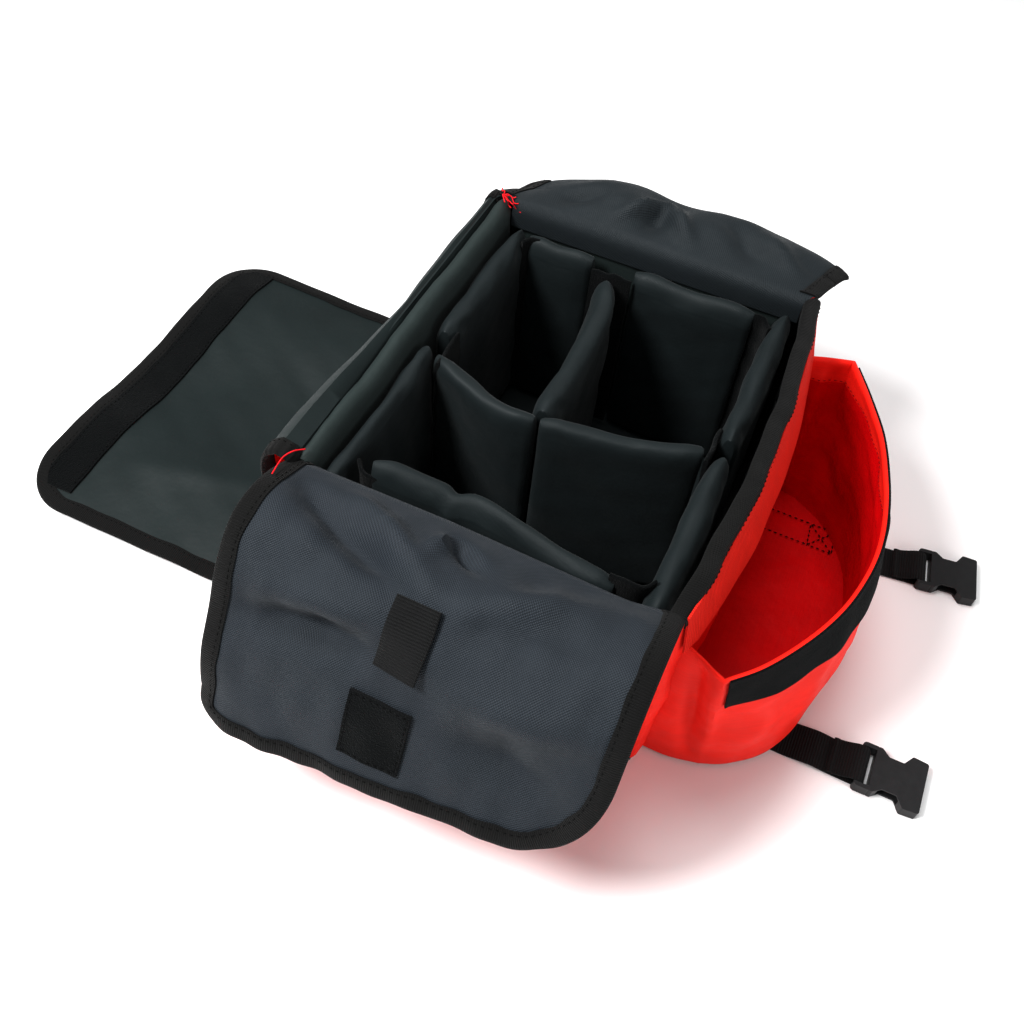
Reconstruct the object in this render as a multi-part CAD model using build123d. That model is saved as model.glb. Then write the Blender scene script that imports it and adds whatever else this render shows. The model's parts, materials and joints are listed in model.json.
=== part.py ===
"""Open padded equipment bag with a divider insert, fold-over lid, end flaps and buckle straps.

Millimetres. X runs along the bag, the pocket and buckles face -Y, the lid hangs from the +Y rim,
+Z is up, and the origin is the centre of the bag's underside, on the surface that it stands on.
"""

from build123d import *
import math
import os

# ---- Driving dimensions ----
LENGTH = 270.0  # outside, along X
DEPTH = 225.0  # outside, along Y
HEIGHT = 164.0  # top edge of the outer fabric
SKIN = 1.2  # coated outer fabric
WEBBING = 1.6  # webbing and velcro backing
WEBBING_WIDTH = 25.0
WALL_FOAM = 5.0  # padding in the front and end walls
BACK_FOAM = 12.0  # thick roll padding in the back wall
BOARD = 2.4  # stiffening board in the base
FRONT_BOW = 9.0  # how far the front wall bows out at its middle
TAPE_WIDTH = 10.0  # binding tape, seen on one face
TAPE = 0.7  # binding tape thickness, one layer
CLOTH = 2.0  # flap and lid panels: two fabrics and an interlining
HINGE_OUT = 3.5  # end flap hinge lines stand this far outside the end walls

# pocket on the front wall
POCKET_HEIGHT = 128.0
POCKET_WALL = 2.0
POCKET_ROOT_X = 122.0  # half width where the gussets meet the wall
POCKET_TOP = (132.0, -144.0, -198.0)  # corner x, corner y, mid-front y at the rim
POCKET_FLOOR = (118.0, -150.0, -212.0)  # the same at the floor

# divider insert
INSERT_X = 124.0  # half length outside
INSERT_FRONT = -103.5
INSERT_BACK = 95.0
PAD = 12.0
PAD_TOP = 155.0
PAD_FLOOR = 12.0  # top of the floor pad
PAD_SOFT_EDGE = 5.0
DIVIDER = 11.0
DIVIDER_TOP = 150.0
DIVIDER_GAP = 0.4
TAB = 2.0  # velcro tabs that join the pads
TAB_HALF = 14.0  # half width of a divider's end tab
TAB_SHORT = 4.0  # tabs stop short of the pads' top and bottom
PAD_CORNER = 19.5  # left between pads at a corner, bridged by a tab
PAD_CORNER_RIGHT = 11.5  # the same at the two corners nearest the buckles' far end
FRONT_PAD_GAP = (-8.0, 2.0)  # x, between the two front pads
BACK_PAD_GAP = (-8.0, 4.0)
RIGHT_PAD_GAP = (4.0, 32.0)  # y, between the two right pads
TRAY_CLEARANCE = 0.5  # under the insert
CROSS_SEAM_GAP = 2.5  # from the cross divider's bend to each padded half
CROSS_BACK = (-4.0, 80.0)  # the cross divider's line, seen from above
CROSS_BEND = (-31.0, 9.0)
CROSS_FRONT = (-1.0, -88.6)
LONG_START = (-22.0, 9.6)
LONG_END = (107.5, 17.8)  # the long divider's far end

# lid, hinged on the back rim and lying open on the ground
LID_HALF = 138.0
LID_HINGE_Y = DEPTH / 2 + 3.0
LID_HINGE_Z = 176.5
LID_GROUND = 10.7  # height of the open lid's middle layer
LID_TOP_LENGTH = 158.0
LID_FRONT_LENGTH = 84.0
LID_CORNER = 38.0
HOOK_STRIP = (10.0, 35.0)  # distance of the strip's edges from the lid's free edge
LID_FOLD_GAP = 2.0  # each side of a lid fold, clear of the tape on the next stretch
PLUG_BAR_FROM_EDGE = 60.0

# end flaps
FLAP_HALF = 112.0
FLAP_LENGTH = 163.0
FLAP_CORNER = 45.0
LEFT_HINGE_Z = 167.5
LEFT_ROOT = 50.0  # from the rim to the crest
LEFT_ROOT_RISE = 6.8  # degrees above level
LEFT_END_DROP = 60.4  # degrees below level
RIGHT_HINGE_Z = 172.2
RIGHT_ROOT = 38.0
RIGHT_END_DROP = 72.0
FLAP_TAB = (60.0, 97.0)  # along the flap
FLAP_PATCH = (118.0, 158.0, 35.0)  # along the flap, and its width
FLAP_TAB_Y = 5.0
FLAP_FOLD_GAP = 1.5  # each side of a flap fold

# buckles and their straps, at both places along the pocket
STRAPS = {
    "left": dict(x=-75.0, pivot_y=-199.0, reach=43.0, yaw=0.0),
    "right": dict(x=87.0, pivot_y=-196.0, reach=51.0, yaw=8.0),
}
STRAP_GAP = 1.0  # from a strap's pivot to the webbing on each side of it
BAR_HEIGHT = 4.3  # middle of the buckle's bar above the ground
BAR = 3.6  # bar's diameter
LOOP_INSIDE = 2.6  # inside radius of the webbing round the bar
LOOP_SEWN = 16.0  # from the bar to where the webbing's two layers are sewn
LOOP_OUTSIDE = LOOP_INSIDE + WEBBING

# side-release buckles, measured from the bar
BUCKLE_HALF = 15.75
SLOT_HALF = 12.9
SLOT_END = 6.8
FRAME_SPAN = (-2.2, 8.8)
FRAME_CORNER = 2.5
SOCKET_THICK = 7.8
SOCKET_OUTLINE = (
    (SLOT_END, BUCKLE_HALF),
    (9.8, BUCKLE_HALF),
    (14.8, 11.5),
    (24.0, 11.5),
    (28.5, 18.5),
    (38.5, 17.7),
)
SOCKET_ROUNDING = 1.6
CAVITY_START = 12.8
CAVITY_HALF = 14.3
CAVITY_HEIGHT = 5.2
PLUG_THICK = 7.0
NECK_END = 11.8
NECK_HALF = 14.75
GUIDE_END = 37.0
GUIDE_HALF = 2.4
GUIDE_THICK = 2.8
ARM_OUTLINE = (
    (10.8, 12.5),
    (26.8, 11.8),
    (27.8, 14.5),
    (41.0, 9.5),
    (43.0, 6.0),
    (39.0, 6.0),
    (24.8, 8.5),
    (10.8, 9.5),
)
ARM_THICK = 4.4
ARM_ROUNDING = 0.5


# ---- Helpers ----
def block(x_span, y_span, z_span):
    """A box between two corners."""
    size = [b - a for a, b in (x_span, y_span, z_span)]
    middle = [(a + b) / 2 for a, b in (x_span, y_span, z_span)]
    return Pos(*middle) * Box(*size)


def soft_block(x_span, y_span, z_span, radius):
    """A padded panel: a box with its top and upright edges rounded."""
    body = block(x_span, y_span, z_span)
    upright = body.edges().filter_by(Axis.Z)
    top = body.faces().sort_by(Axis.Z)[-1].edges()
    return fillet(upright + top, radius)


def slab_between(start, end, thickness, z_span, radius):
    """An upright padded panel whose middle runs from start to end, seen from above."""
    run = math.dist(start, end)
    turn = math.degrees(math.atan2(end[1] - start[1], end[0] - start[0]))
    body = soft_block((0, run), (-thickness / 2, thickness / 2), z_span, radius)
    return Pos(start[0], start[1], 0) * Rot(0, 0, turn) * body


def along(start, end, distance):
    """The point at a distance from start towards end."""
    share = distance / math.dist(start, end)
    return tuple(a + (b - a) * share for a, b in zip(start, end))


def bowed(y_outer, thickness, half, z_span):
    """A strip of the front wall, on the arc that bows out by FRONT_BOW over the wall's length."""
    x = LENGTH / 2
    outer = ThreePointArc((-x, y_outer), (0, y_outer - FRONT_BOW), (x, y_outer))
    inner = Pos(0, thickness) * outer
    ends = [Line(outer @ 0, inner @ 0), Line(outer @ 1, inner @ 1)]
    face = make_face([outer, inner, *ends]) & Rectangle(2 * half, 4 * DEPTH)
    return plate(face, *z_span)


def tongue(start, end, half, corner=0.0):
    """Flat outline from start to end along its own X, with round corners at the far end."""
    face = Pos((start + end) / 2, 0) * Rectangle(end - start, 2 * half)
    if corner:
        face = fillet(face.vertices().group_by(Axis.X)[-1], corner)
    return face


def plate(face, low, high):
    """A flat outline thickened between two heights."""
    return Pos(0, 0, low) * extrude(face, high - low)


def panel(start, end, half, corner=0.0):
    """The cloth of one stiff stretch of a flap or lid."""
    inset = TAPE if corner else 0.0
    rounding = corner - TAPE if corner else 0.0
    face = tongue(start, end - inset, half - TAPE, rounding)
    return plate(face, -CLOTH / 2, CLOTH / 2)


def binding(start, end, half, corner=0.0):
    """Tape folded over the side edges, and over the far edge where that has round corners."""
    face = tongue(start, end, half, corner)
    depth = CLOTH / 2 + TAPE
    if corner:
        hollow = tongue(start, end - TAPE_WIDTH, half - TAPE_WIDTH, corner - TAPE_WIDTH)
    else:
        hollow = tongue(start, end, half - TAPE_WIDTH)
    tape = plate(face, -depth, depth) - plate(hollow, -depth - 1, depth + 1)
    return tape - panel(start, end, half, corner)


def stretch(origin, direction, outward):
    """Local frame of a panel: X runs along it, Z is its outer face."""
    return Plane(origin=origin, x_dir=direction, z_dir=outward).location


# ---- Shell ----
def shell():
    """Outer fabric, base board, wall padding and the trim on the front rim."""
    x, y = LENGTH / 2, DEPTH / 2
    foam_x = x - SKIN
    foam_front = -y + SKIN + WALL_FOAM
    foam_back = y - SKIN - BACK_FOAM
    end_y = (-y + SKIN, y - SKIN)
    foam_y = (foam_front, foam_back)
    board_z = (WEBBING, WEBBING + BOARD)
    skin_z = (WEBBING, HEIGHT)
    foam_z = (board_z[1], HEIGHT - SKIN)
    front_skin = bowed(-y, SKIN, x, skin_z)
    front_foam = bowed(-y + SKIN, FRONT_BOW + WALL_FOAM, foam_x, foam_z)
    front_foam -= block((-x, x), (foam_front, y), foam_z)
    back_foam = block((-foam_x, foam_x), (foam_back, y - SKIN), (board_z[1], HEIGHT + SKIN))
    roll_edges = back_foam.faces().sort_by(Axis.Z)[-1].edges().filter_by(Axis.X)
    board = block((-foam_x, foam_x), end_y, board_z)
    bottom = block((-x, x), (-y, y), (0, WEBBING))
    parts = {
        "bottom_skin": bottom + bowed(-y, FRONT_BOW, x, (0, WEBBING)),
        "base_board": board + bowed(-y + SKIN, FRONT_BOW, foam_x, board_z),
        "front_skin": front_skin,
        "back_skin": block((-x, x), (y - SKIN, y), skin_z),
        "left_skin": block((-x, -foam_x), end_y, skin_z),
        "right_skin": block((foam_x, x), end_y, skin_z),
        "front_foam": front_foam,
        "back_foam": fillet(roll_edges, PAD_SOFT_EDGE),
        "left_foam": block((-foam_x, -foam_x + WALL_FOAM), foam_y, foam_z),
        "right_foam": block((foam_x - WALL_FOAM, foam_x), foam_y, foam_z),
    }
    return parts | front_rim(front_skin + front_foam)


def front_rim(front_wall):
    """Ribbed webbing along the top of the front wall, and the tape folded over its edge."""
    y = DEPTH / 2
    half = LENGTH / 2 - SKIN - WALL_FOAM
    tape_low = HEIGHT - TAPE_WIDTH
    tape_z = (tape_low, HEIGHT + SKIN)
    tape_inside = -y + SKIN + WALL_FOAM + SKIN
    tape = bowed(-y - SKIN, FRONT_BOW + DEPTH / 2, half, tape_z)
    tape -= block((-half, half), (tape_inside, y), tape_z)
    return {
        "front_rim_webbing": bowed(
            -y - WEBBING, WEBBING, half, (tape_low - WEBBING_WIDTH, tape_low)
        ),
        "front_rim_binding": tape - front_wall,
    }


# ---- Pocket ----
def pocket_outline(corner_x, corner_y, mid_y, inset):
    """The pocket seen from above: two gussets and a bowed front, inset for its inside."""
    root = POCKET_ROOT_X - inset
    corner = corner_x - inset
    front = ThreePointArc(
        (-corner, corner_y + inset), (0, mid_y + inset), (corner, corner_y + inset)
    )
    wall_y = -DEPTH / 2 + FRONT_BOW
    left = Line((-root, wall_y), front @ 0)
    right = Line(front @ 1, (root, wall_y))
    return make_face([left, front, right, Line(right @ 1, left @ 0)])


def pocket_body(inset, low, high):
    """The pocket's space between two heights, taken from one straight-sided loft."""
    floor = pocket_outline(*POCKET_FLOOR, inset)
    top = Pos(0, 0, POCKET_HEIGHT) * pocket_outline(*POCKET_TOP, inset)
    body = loft([floor, top], ruled=True)
    return body & block((-LENGTH, LENGTH), (-DEPTH * 2, DEPTH), (low, high))


def pocket():
    """Panel, two gussets, floor and the loop strip round the rim."""
    base = WEBBING
    floor_top = base + POCKET_WALL
    outside = pocket_body(0, base, POCKET_HEIGHT)
    hollow = pocket_body(POCKET_WALL, floor_top, POCKET_HEIGHT)
    wall = outside - hollow - bowed(-DEPTH / 2, DEPTH, LENGTH / 2, (0, HEIGHT))
    rise = (floor_top, POCKET_HEIGHT)
    split_y = POCKET_FLOOR[1] + POCKET_WALL
    front = wall & block((-LENGTH, LENGTH), (-2 * DEPTH, split_y), rise)
    left = wall & block((-LENGTH, 0), (split_y, 0), rise)
    right = wall & block((0, LENGTH), (split_y, 0), rise)
    floor = wall & block((-LENGTH, LENGTH), (-2 * DEPTH, 0), (base, floor_top))
    strip_top = POCKET_HEIGHT - POCKET_WALL
    strip_z = (strip_top - WEBBING_WIDTH, strip_top)
    strip = pocket_body(-SKIN, *strip_z) - pocket_body(0, 0, POCKET_HEIGHT)
    strip &= block((-LENGTH, LENGTH), (-2 * DEPTH, split_y - 2 * POCKET_WALL), strip_z)
    return {
        "pocket_panel": front,
        "pocket_left_gusset": left,
        "pocket_right_gusset": right,
        "pocket_floor": floor,
        "pocket_loop_strip": strip,
    }


# ---- Divider insert ----
def insert():
    """Padded tray: a floor, seven wall pads and the thin tabs at its corners."""
    left = (-INSERT_X, -INSERT_X + PAD)
    right = (INSERT_X - PAD, INSERT_X)
    front = (INSERT_FRONT, INSERT_FRONT + PAD)
    back = (INSERT_BACK - PAD, INSERT_BACK)
    left_y = (front[1] + PAD_CORNER, back[0] - PAD_CORNER)
    right_y = (front[1] + PAD_CORNER_RIGHT, back[0] - PAD_CORNER_RIGHT)
    pads = {
        "insert_left_pad": (left, left_y),
        "insert_right_pad_front": (right, (right_y[0], RIGHT_PAD_GAP[0])),
        "insert_right_pad_back": (right, (RIGHT_PAD_GAP[1], right_y[1])),
        "insert_front_pad_left": ((-INSERT_X, FRONT_PAD_GAP[0]), front),
        "insert_front_pad_right": ((FRONT_PAD_GAP[1], INSERT_X), front),
        "insert_back_pad_left": ((-INSERT_X, BACK_PAD_GAP[0]), back),
        "insert_back_pad_right": ((BACK_PAD_GAP[1], INSERT_X), back),
    }
    parts = {
        name: soft_block(x_span, y_span, (PAD_FLOOR, PAD_TOP), PAD_SOFT_EDGE)
        for name, (x_span, y_span) in pads.items()
    }
    floor_z = (WEBBING + BOARD + TRAY_CLEARANCE, PAD_FLOOR)
    parts["insert_floor"] = block((-INSERT_X, INSERT_X), (INSERT_FRONT, INSERT_BACK), floor_z)
    tab_z = (PAD_FLOOR + TAB_SHORT, PAD_TOP - TAB_SHORT)
    inward = (PAD - TAB) / 2
    tabs = []
    for x_span, pad_y in ((left, left_y), (right, right_y)):
        tab_x = (x_span[0] + inward, x_span[1] - inward)
        tabs.append(block(tab_x, (front[1], pad_y[0]), tab_z))
        tabs.append(block(tab_x, (pad_y[1], back[0]), tab_z))
    parts["insert_tabs"] = Compound(children=tabs)
    return parts


def dividers():
    """Cross divider in two halves with a sewn bend, and the long divider behind it."""
    z_span = (PAD_FLOOR + DIVIDER_GAP, DIVIDER_TOP)
    tab_z = (PAD_FLOOR + TAB_SHORT, DIVIDER_TOP - TAB_SHORT)
    front_y = INSERT_FRONT + PAD + DIVIDER_GAP
    back_y = INSERT_BACK - PAD - DIVIDER_GAP
    far_x = INSERT_X - PAD - DIVIDER_GAP
    front_tab = block(tab_span(CROSS_FRONT[0]), (front_y, front_y + TAB), tab_z)
    back_tab = block(tab_span(CROSS_BACK[0]), (back_y - TAB, back_y), tab_z)
    halves = [
        slab_between(along(CROSS_BEND, end, CROSS_SEAM_GAP), end, DIVIDER, z_span, TAB_SHORT)
        for end in (CROSS_BACK, CROSS_FRONT)
    ]
    return {
        "cross_divider_back": halves[0] - back_tab,
        "cross_divider_front": halves[1] - front_tab,
        "cross_divider_tabs": Compound(children=[front_tab, back_tab]),
        "long_divider": slab_between(LONG_START, LONG_END, DIVIDER, z_span, TAB_SHORT),
        "long_divider_tab": block((far_x - TAB, far_x), tab_span(LONG_END[1]), tab_z),
    }


def tab_span(middle):
    """The two edges of a divider's end tab."""
    return (middle - TAB_HALF, middle + TAB_HALF)


# ---- Lid ----
def lid():
    """The lid in three stiff stretches: down the back wall, along the ground, and its front."""
    front_y = LID_HINGE_Y + LID_TOP_LENGTH
    hanging = stretch((0, LID_HINGE_Y, LID_HINGE_Z), (0, 0, -1), (0, -1, 0))
    lying = stretch((0, LID_HINGE_Y, LID_GROUND), (0, 1, 0), (0, 0, -1))
    front = stretch((0, front_y, LID_GROUND), (0, 1, 0), (0, 0, -1))
    back_span = (LID_FOLD_GAP, LID_HINGE_Z - LID_GROUND - LID_FOLD_GAP)
    top_span = (LID_FOLD_GAP, LID_TOP_LENGTH - LID_FOLD_GAP)
    front_span = (LID_FOLD_GAP, LID_FRONT_LENGTH)
    outer = CLOTH / 2
    top_straps = [
        block(top_span, web_span(strap), (outer, outer + WEBBING)) for strap in STRAPS.values()
    ]
    strip_span = [LID_FRONT_LENGTH - edge for edge in reversed(HOOK_STRIP)]
    hook_strip = plate(tongue(*strip_span, LID_HALF - TAPE_WIDTH), -outer - SKIN, -outer)
    front_binding = binding(*front_span, LID_HALF, LID_CORNER)
    return {
        "lid_back_panel": hanging * panel(*back_span, LID_HALF),
        "lid_back_binding": hanging * binding(*back_span, LID_HALF),
        "lid_top_panel": lying * panel(*top_span, LID_HALF),
        "lid_top_binding": lying * binding(*top_span, LID_HALF),
        "lid_top_straps": lying * Compound(children=top_straps),
        "lid_front_panel": front * panel(*front_span, LID_HALF, LID_CORNER),
        "lid_front_binding": front * front_binding,
        "lid_hook_strip": front * (hook_strip - front_binding),
        "lid_front_straps": lid_front_straps(),
    }


def lid_front_straps():
    """Webbing on the lid front's outer face, each ending in a loop that holds a plug."""
    tail_end = LID_FRONT_LENGTH - PLUG_BAR_FROM_EDGE - LID_FOLD_GAP
    loops = [
        stretch(plug_bar(strap), (0, -1, 0), (0, 0, -1)) * webbing_loop(tail_end)
        for strap in STRAPS.values()
    ]
    return Compound(children=loops)


def plug_bar(strap):
    """Middle of a plug's bar, under the open lid front."""
    y = LID_HINGE_Y + LID_TOP_LENGTH + LID_FRONT_LENGTH - PLUG_BAR_FROM_EDGE
    return (strap["x"], y, LID_GROUND - CLOTH / 2 - LOOP_OUTSIDE)


# ---- Webbing and buckles ----
def web_span(strap):
    """The webbing's two edges along X."""
    return (strap["x"] - WEBBING_WIDTH / 2, strap["x"] + WEBBING_WIDTH / 2)


def loop_profile(tail_end):
    """Side view of webbing round a bar at the origin, sewn to itself and running to tail_end.

    The webbing's flat tail lies along its underside, at the height of the loop's lowest point.
    """
    low = -LOOP_OUTSIDE
    sewn = Pos(LOOP_SEWN, low + WEBBING) * Rectangle(WEBBING, 2 * WEBBING)
    outside = make_hull(Circle(LOOP_OUTSIDE).edges() + sewn.edges())
    fork = Pos(LOOP_SEWN - WEBBING, low + WEBBING + TAPE / 2) * Circle(TAPE / 2)
    hollow = make_hull(Circle(LOOP_INSIDE).edges() + fork.edges())
    tail_middle = ((LOOP_SEWN + tail_end) / 2, low + WEBBING / 2)
    tail = Pos(*tail_middle) * Rectangle(tail_end - LOOP_SEWN, WEBBING)
    return outside - hollow + tail


def webbing_loop(tail_end):
    """Webbing of full width: its bar lies along Y, and its tail runs towards +X."""
    upright = Plane(origin=(0, WEBBING_WIDTH / 2, 0), x_dir=(1, 0, 0), z_dir=(0, -1, 0))
    return extrude(upright * loop_profile(tail_end), WEBBING_WIDTH)


def buckle_frame(thick):
    """The end that webbing passes round: a bar at the origin, a slot and two sides."""
    start, end = FRAME_SPAN
    rounded = RectangleRounded(end - start, 2 * BUCKLE_HALF, FRAME_CORNER)
    outline = Pos((start + end) / 2, 0) * rounded
    window = block((2 * start, SLOT_END), (-SLOT_HALF, SLOT_HALF), (-thick, thick))
    bar = Rot(90, 0, 0) * Cylinder(BAR / 2, 2 * SLOT_HALF)
    return plate(outline, -thick / 2, thick / 2) - window + bar


def socket():
    """Side-release socket with its bar at the origin and its mouth towards +X."""
    half = SOCKET_THICK / 2
    other_side = [(x, -y) for x, y in reversed(SOCKET_OUTLINE)]
    outline = make_face(Polyline(*SOCKET_OUTLINE, *other_side, close=True))
    body = plate(fillet(outline.vertices(), SOCKET_ROUNDING), -half, half)
    cavity = block(
        (CAVITY_START, LENGTH),
        (-CAVITY_HALF, CAVITY_HALF),
        (-CAVITY_HEIGHT / 2, CAVITY_HEIGHT / 2),
    )
    return buckle_frame(SOCKET_THICK) + body - cavity


def plug():
    """Side-release plug with its bar at the origin and its prongs towards +X."""
    half = PLUG_THICK / 2
    neck = block((SLOT_END, NECK_END), (-NECK_HALF, NECK_HALF), (-half, half))
    guide_z = (-GUIDE_THICK / 2, GUIDE_THICK / 2)
    guide = block((SLOT_END, GUIDE_END), (-GUIDE_HALF, GUIDE_HALF), guide_z)
    arm_face = make_face(Polyline(*ARM_OUTLINE, close=True))
    arm_face = fillet(arm_face.vertices(), ARM_ROUNDING)
    arm = plate(arm_face, -ARM_THICK / 2, ARM_THICK / 2)
    return buckle_frame(PLUG_THICK) + neck + guide + arm + mirror(arm, about=Plane.XZ)


def straps_and_buckles(bottom_skin):
    """The pocket straps with their sockets, their webbing under the pocket, and the plugs."""
    parts = {}
    under = []
    for side, strap in STRAPS.items():
        turn = math.radians(strap["yaw"])
        outward = (math.sin(turn), -math.cos(turn), 0)
        inward = (-outward[0], -outward[1], 0)
        pivot_y, reach = strap["pivot_y"], strap["reach"]
        bar = (strap["x"] + outward[0] * reach, pivot_y + outward[1] * reach, BAR_HEIGHT)
        webbing = webbing_loop(reach - STRAP_GAP)
        under_y = (pivot_y + STRAP_GAP, -DEPTH / 2)
        under.append(block(web_span(strap), under_y, (0, WEBBING)) - bottom_skin)
        parts[f"{side}_strap"] = stretch(bar, inward, (0, 0, 1)) * webbing
        parts[f"{side}_socket"] = stretch(bar, outward, (0, 0, 1)) * socket()
        parts[f"{side}_plug"] = stretch(plug_bar(strap), (0, 1, 0), (0, 0, 1)) * plug()
    parts["base_straps"] = Compound(children=under)
    return parts


# ---- End flaps ----
def end_flap(side, hinge_x, hinge_z, root_length, rise, drop):
    """A flap folded out over an end wall: a short root to the crest, then a hanging end."""
    out = math.copysign(1, hinge_x)
    up, down = math.radians(rise), math.radians(drop)
    root_dir = (out * math.cos(up), 0, math.sin(up))
    root_out = (out * math.sin(up), 0, -math.cos(up))
    end_dir = (out * math.cos(down), 0, -math.sin(down))
    end_out = (-out * math.sin(down), 0, -math.cos(down))
    crest = (hinge_x + root_dir[0] * root_length, 0, hinge_z + root_dir[2] * root_length)
    root = stretch((hinge_x, 0, hinge_z), root_dir, root_out)
    end = stretch(crest, end_dir, end_out)
    root_span = (FLAP_FOLD_GAP, root_length - FLAP_FOLD_GAP)
    end_span = (FLAP_FOLD_GAP, FLAP_LENGTH - root_length)
    inner = -CLOTH / 2
    across = -out * FLAP_TAB_Y
    tab_x = [s - root_length for s in FLAP_TAB]
    tab_y = (across - WEBBING_WIDTH / 2, across + WEBBING_WIDTH / 2)
    patch_x = [s - root_length for s in FLAP_PATCH[:2]]
    patch_y = (across - FLAP_PATCH[2] / 2, across + FLAP_PATCH[2] / 2)
    end_binding = binding(*end_span, FLAP_HALF, FLAP_CORNER)
    patch = block(patch_x, patch_y, (inner - SKIN, inner))
    return {
        f"{side}_flap_root": root * panel(*root_span, FLAP_HALF),
        f"{side}_flap_root_binding": root * binding(*root_span, FLAP_HALF),
        f"{side}_flap_end": end * panel(*end_span, FLAP_HALF, FLAP_CORNER),
        f"{side}_flap_end_binding": end * end_binding,
        f"{side}_flap_tab": end * block(tab_x, tab_y, (inner - WEBBING, inner)),
        f"{side}_flap_patch": end * (patch - end_binding),
    }


def flaps():
    """The two end flaps, lying open over the end walls."""
    hinge_x = LENGTH / 2 + HINGE_OUT
    left = end_flap(
        "left", -hinge_x, LEFT_HINGE_Z, LEFT_ROOT, LEFT_ROOT_RISE, LEFT_END_DROP
    )
    right = end_flap("right", hinge_x, RIGHT_HINGE_Z, RIGHT_ROOT, 0.0, RIGHT_END_DROP)
    return left | right


# ---- Build ----
def build():
    """Every sub-part by node name."""
    parts = shell()
    parts |= pocket()
    parts |= insert()
    parts |= dividers()
    parts |= lid()
    parts |= flaps()
    parts |= straps_and_buckles(parts["bottom_skin"])
    return parts


os.makedirs("parts", exist_ok=True)
for node, shape in build().items():
    export_step(shape, f"parts/{node}.step")
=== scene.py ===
"""Open padded equipment bag: fabric, padding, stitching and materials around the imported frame.

Shapes are worked out in millimetres in the frame's own axes and written to meshes in metres.
"""

import json
import math

import bpy
import numpy as np
from mathutils import Matrix, Vector


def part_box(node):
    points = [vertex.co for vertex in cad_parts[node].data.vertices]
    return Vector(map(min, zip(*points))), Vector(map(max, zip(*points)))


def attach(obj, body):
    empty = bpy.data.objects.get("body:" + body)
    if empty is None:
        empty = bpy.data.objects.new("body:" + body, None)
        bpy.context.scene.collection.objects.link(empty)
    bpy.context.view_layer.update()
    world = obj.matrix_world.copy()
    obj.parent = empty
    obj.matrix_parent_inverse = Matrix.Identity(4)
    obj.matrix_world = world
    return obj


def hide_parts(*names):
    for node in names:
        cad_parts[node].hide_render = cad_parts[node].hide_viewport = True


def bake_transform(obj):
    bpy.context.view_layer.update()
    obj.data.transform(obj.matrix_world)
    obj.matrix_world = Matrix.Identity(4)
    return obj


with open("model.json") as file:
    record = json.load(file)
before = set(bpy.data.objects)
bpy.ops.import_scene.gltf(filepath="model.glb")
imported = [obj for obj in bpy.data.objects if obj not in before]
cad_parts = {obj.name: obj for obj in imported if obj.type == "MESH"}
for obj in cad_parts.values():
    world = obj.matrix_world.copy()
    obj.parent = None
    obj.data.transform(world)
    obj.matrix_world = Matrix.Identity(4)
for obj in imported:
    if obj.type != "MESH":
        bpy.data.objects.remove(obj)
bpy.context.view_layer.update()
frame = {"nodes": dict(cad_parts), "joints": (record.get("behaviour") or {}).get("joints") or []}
MM = 0.001
joints = {joint["name"]: joint for joint in frame["joints"]}


def box(node):
    """A CAD node's lowest and highest corners in millimetres."""
    low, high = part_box(node)
    return np.array(low) / MM, np.array(high) / MM


def pivot(joint):
    """A joint's position in millimetres."""
    return np.array(joints[joint]["pos_m"]) / MM


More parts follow.
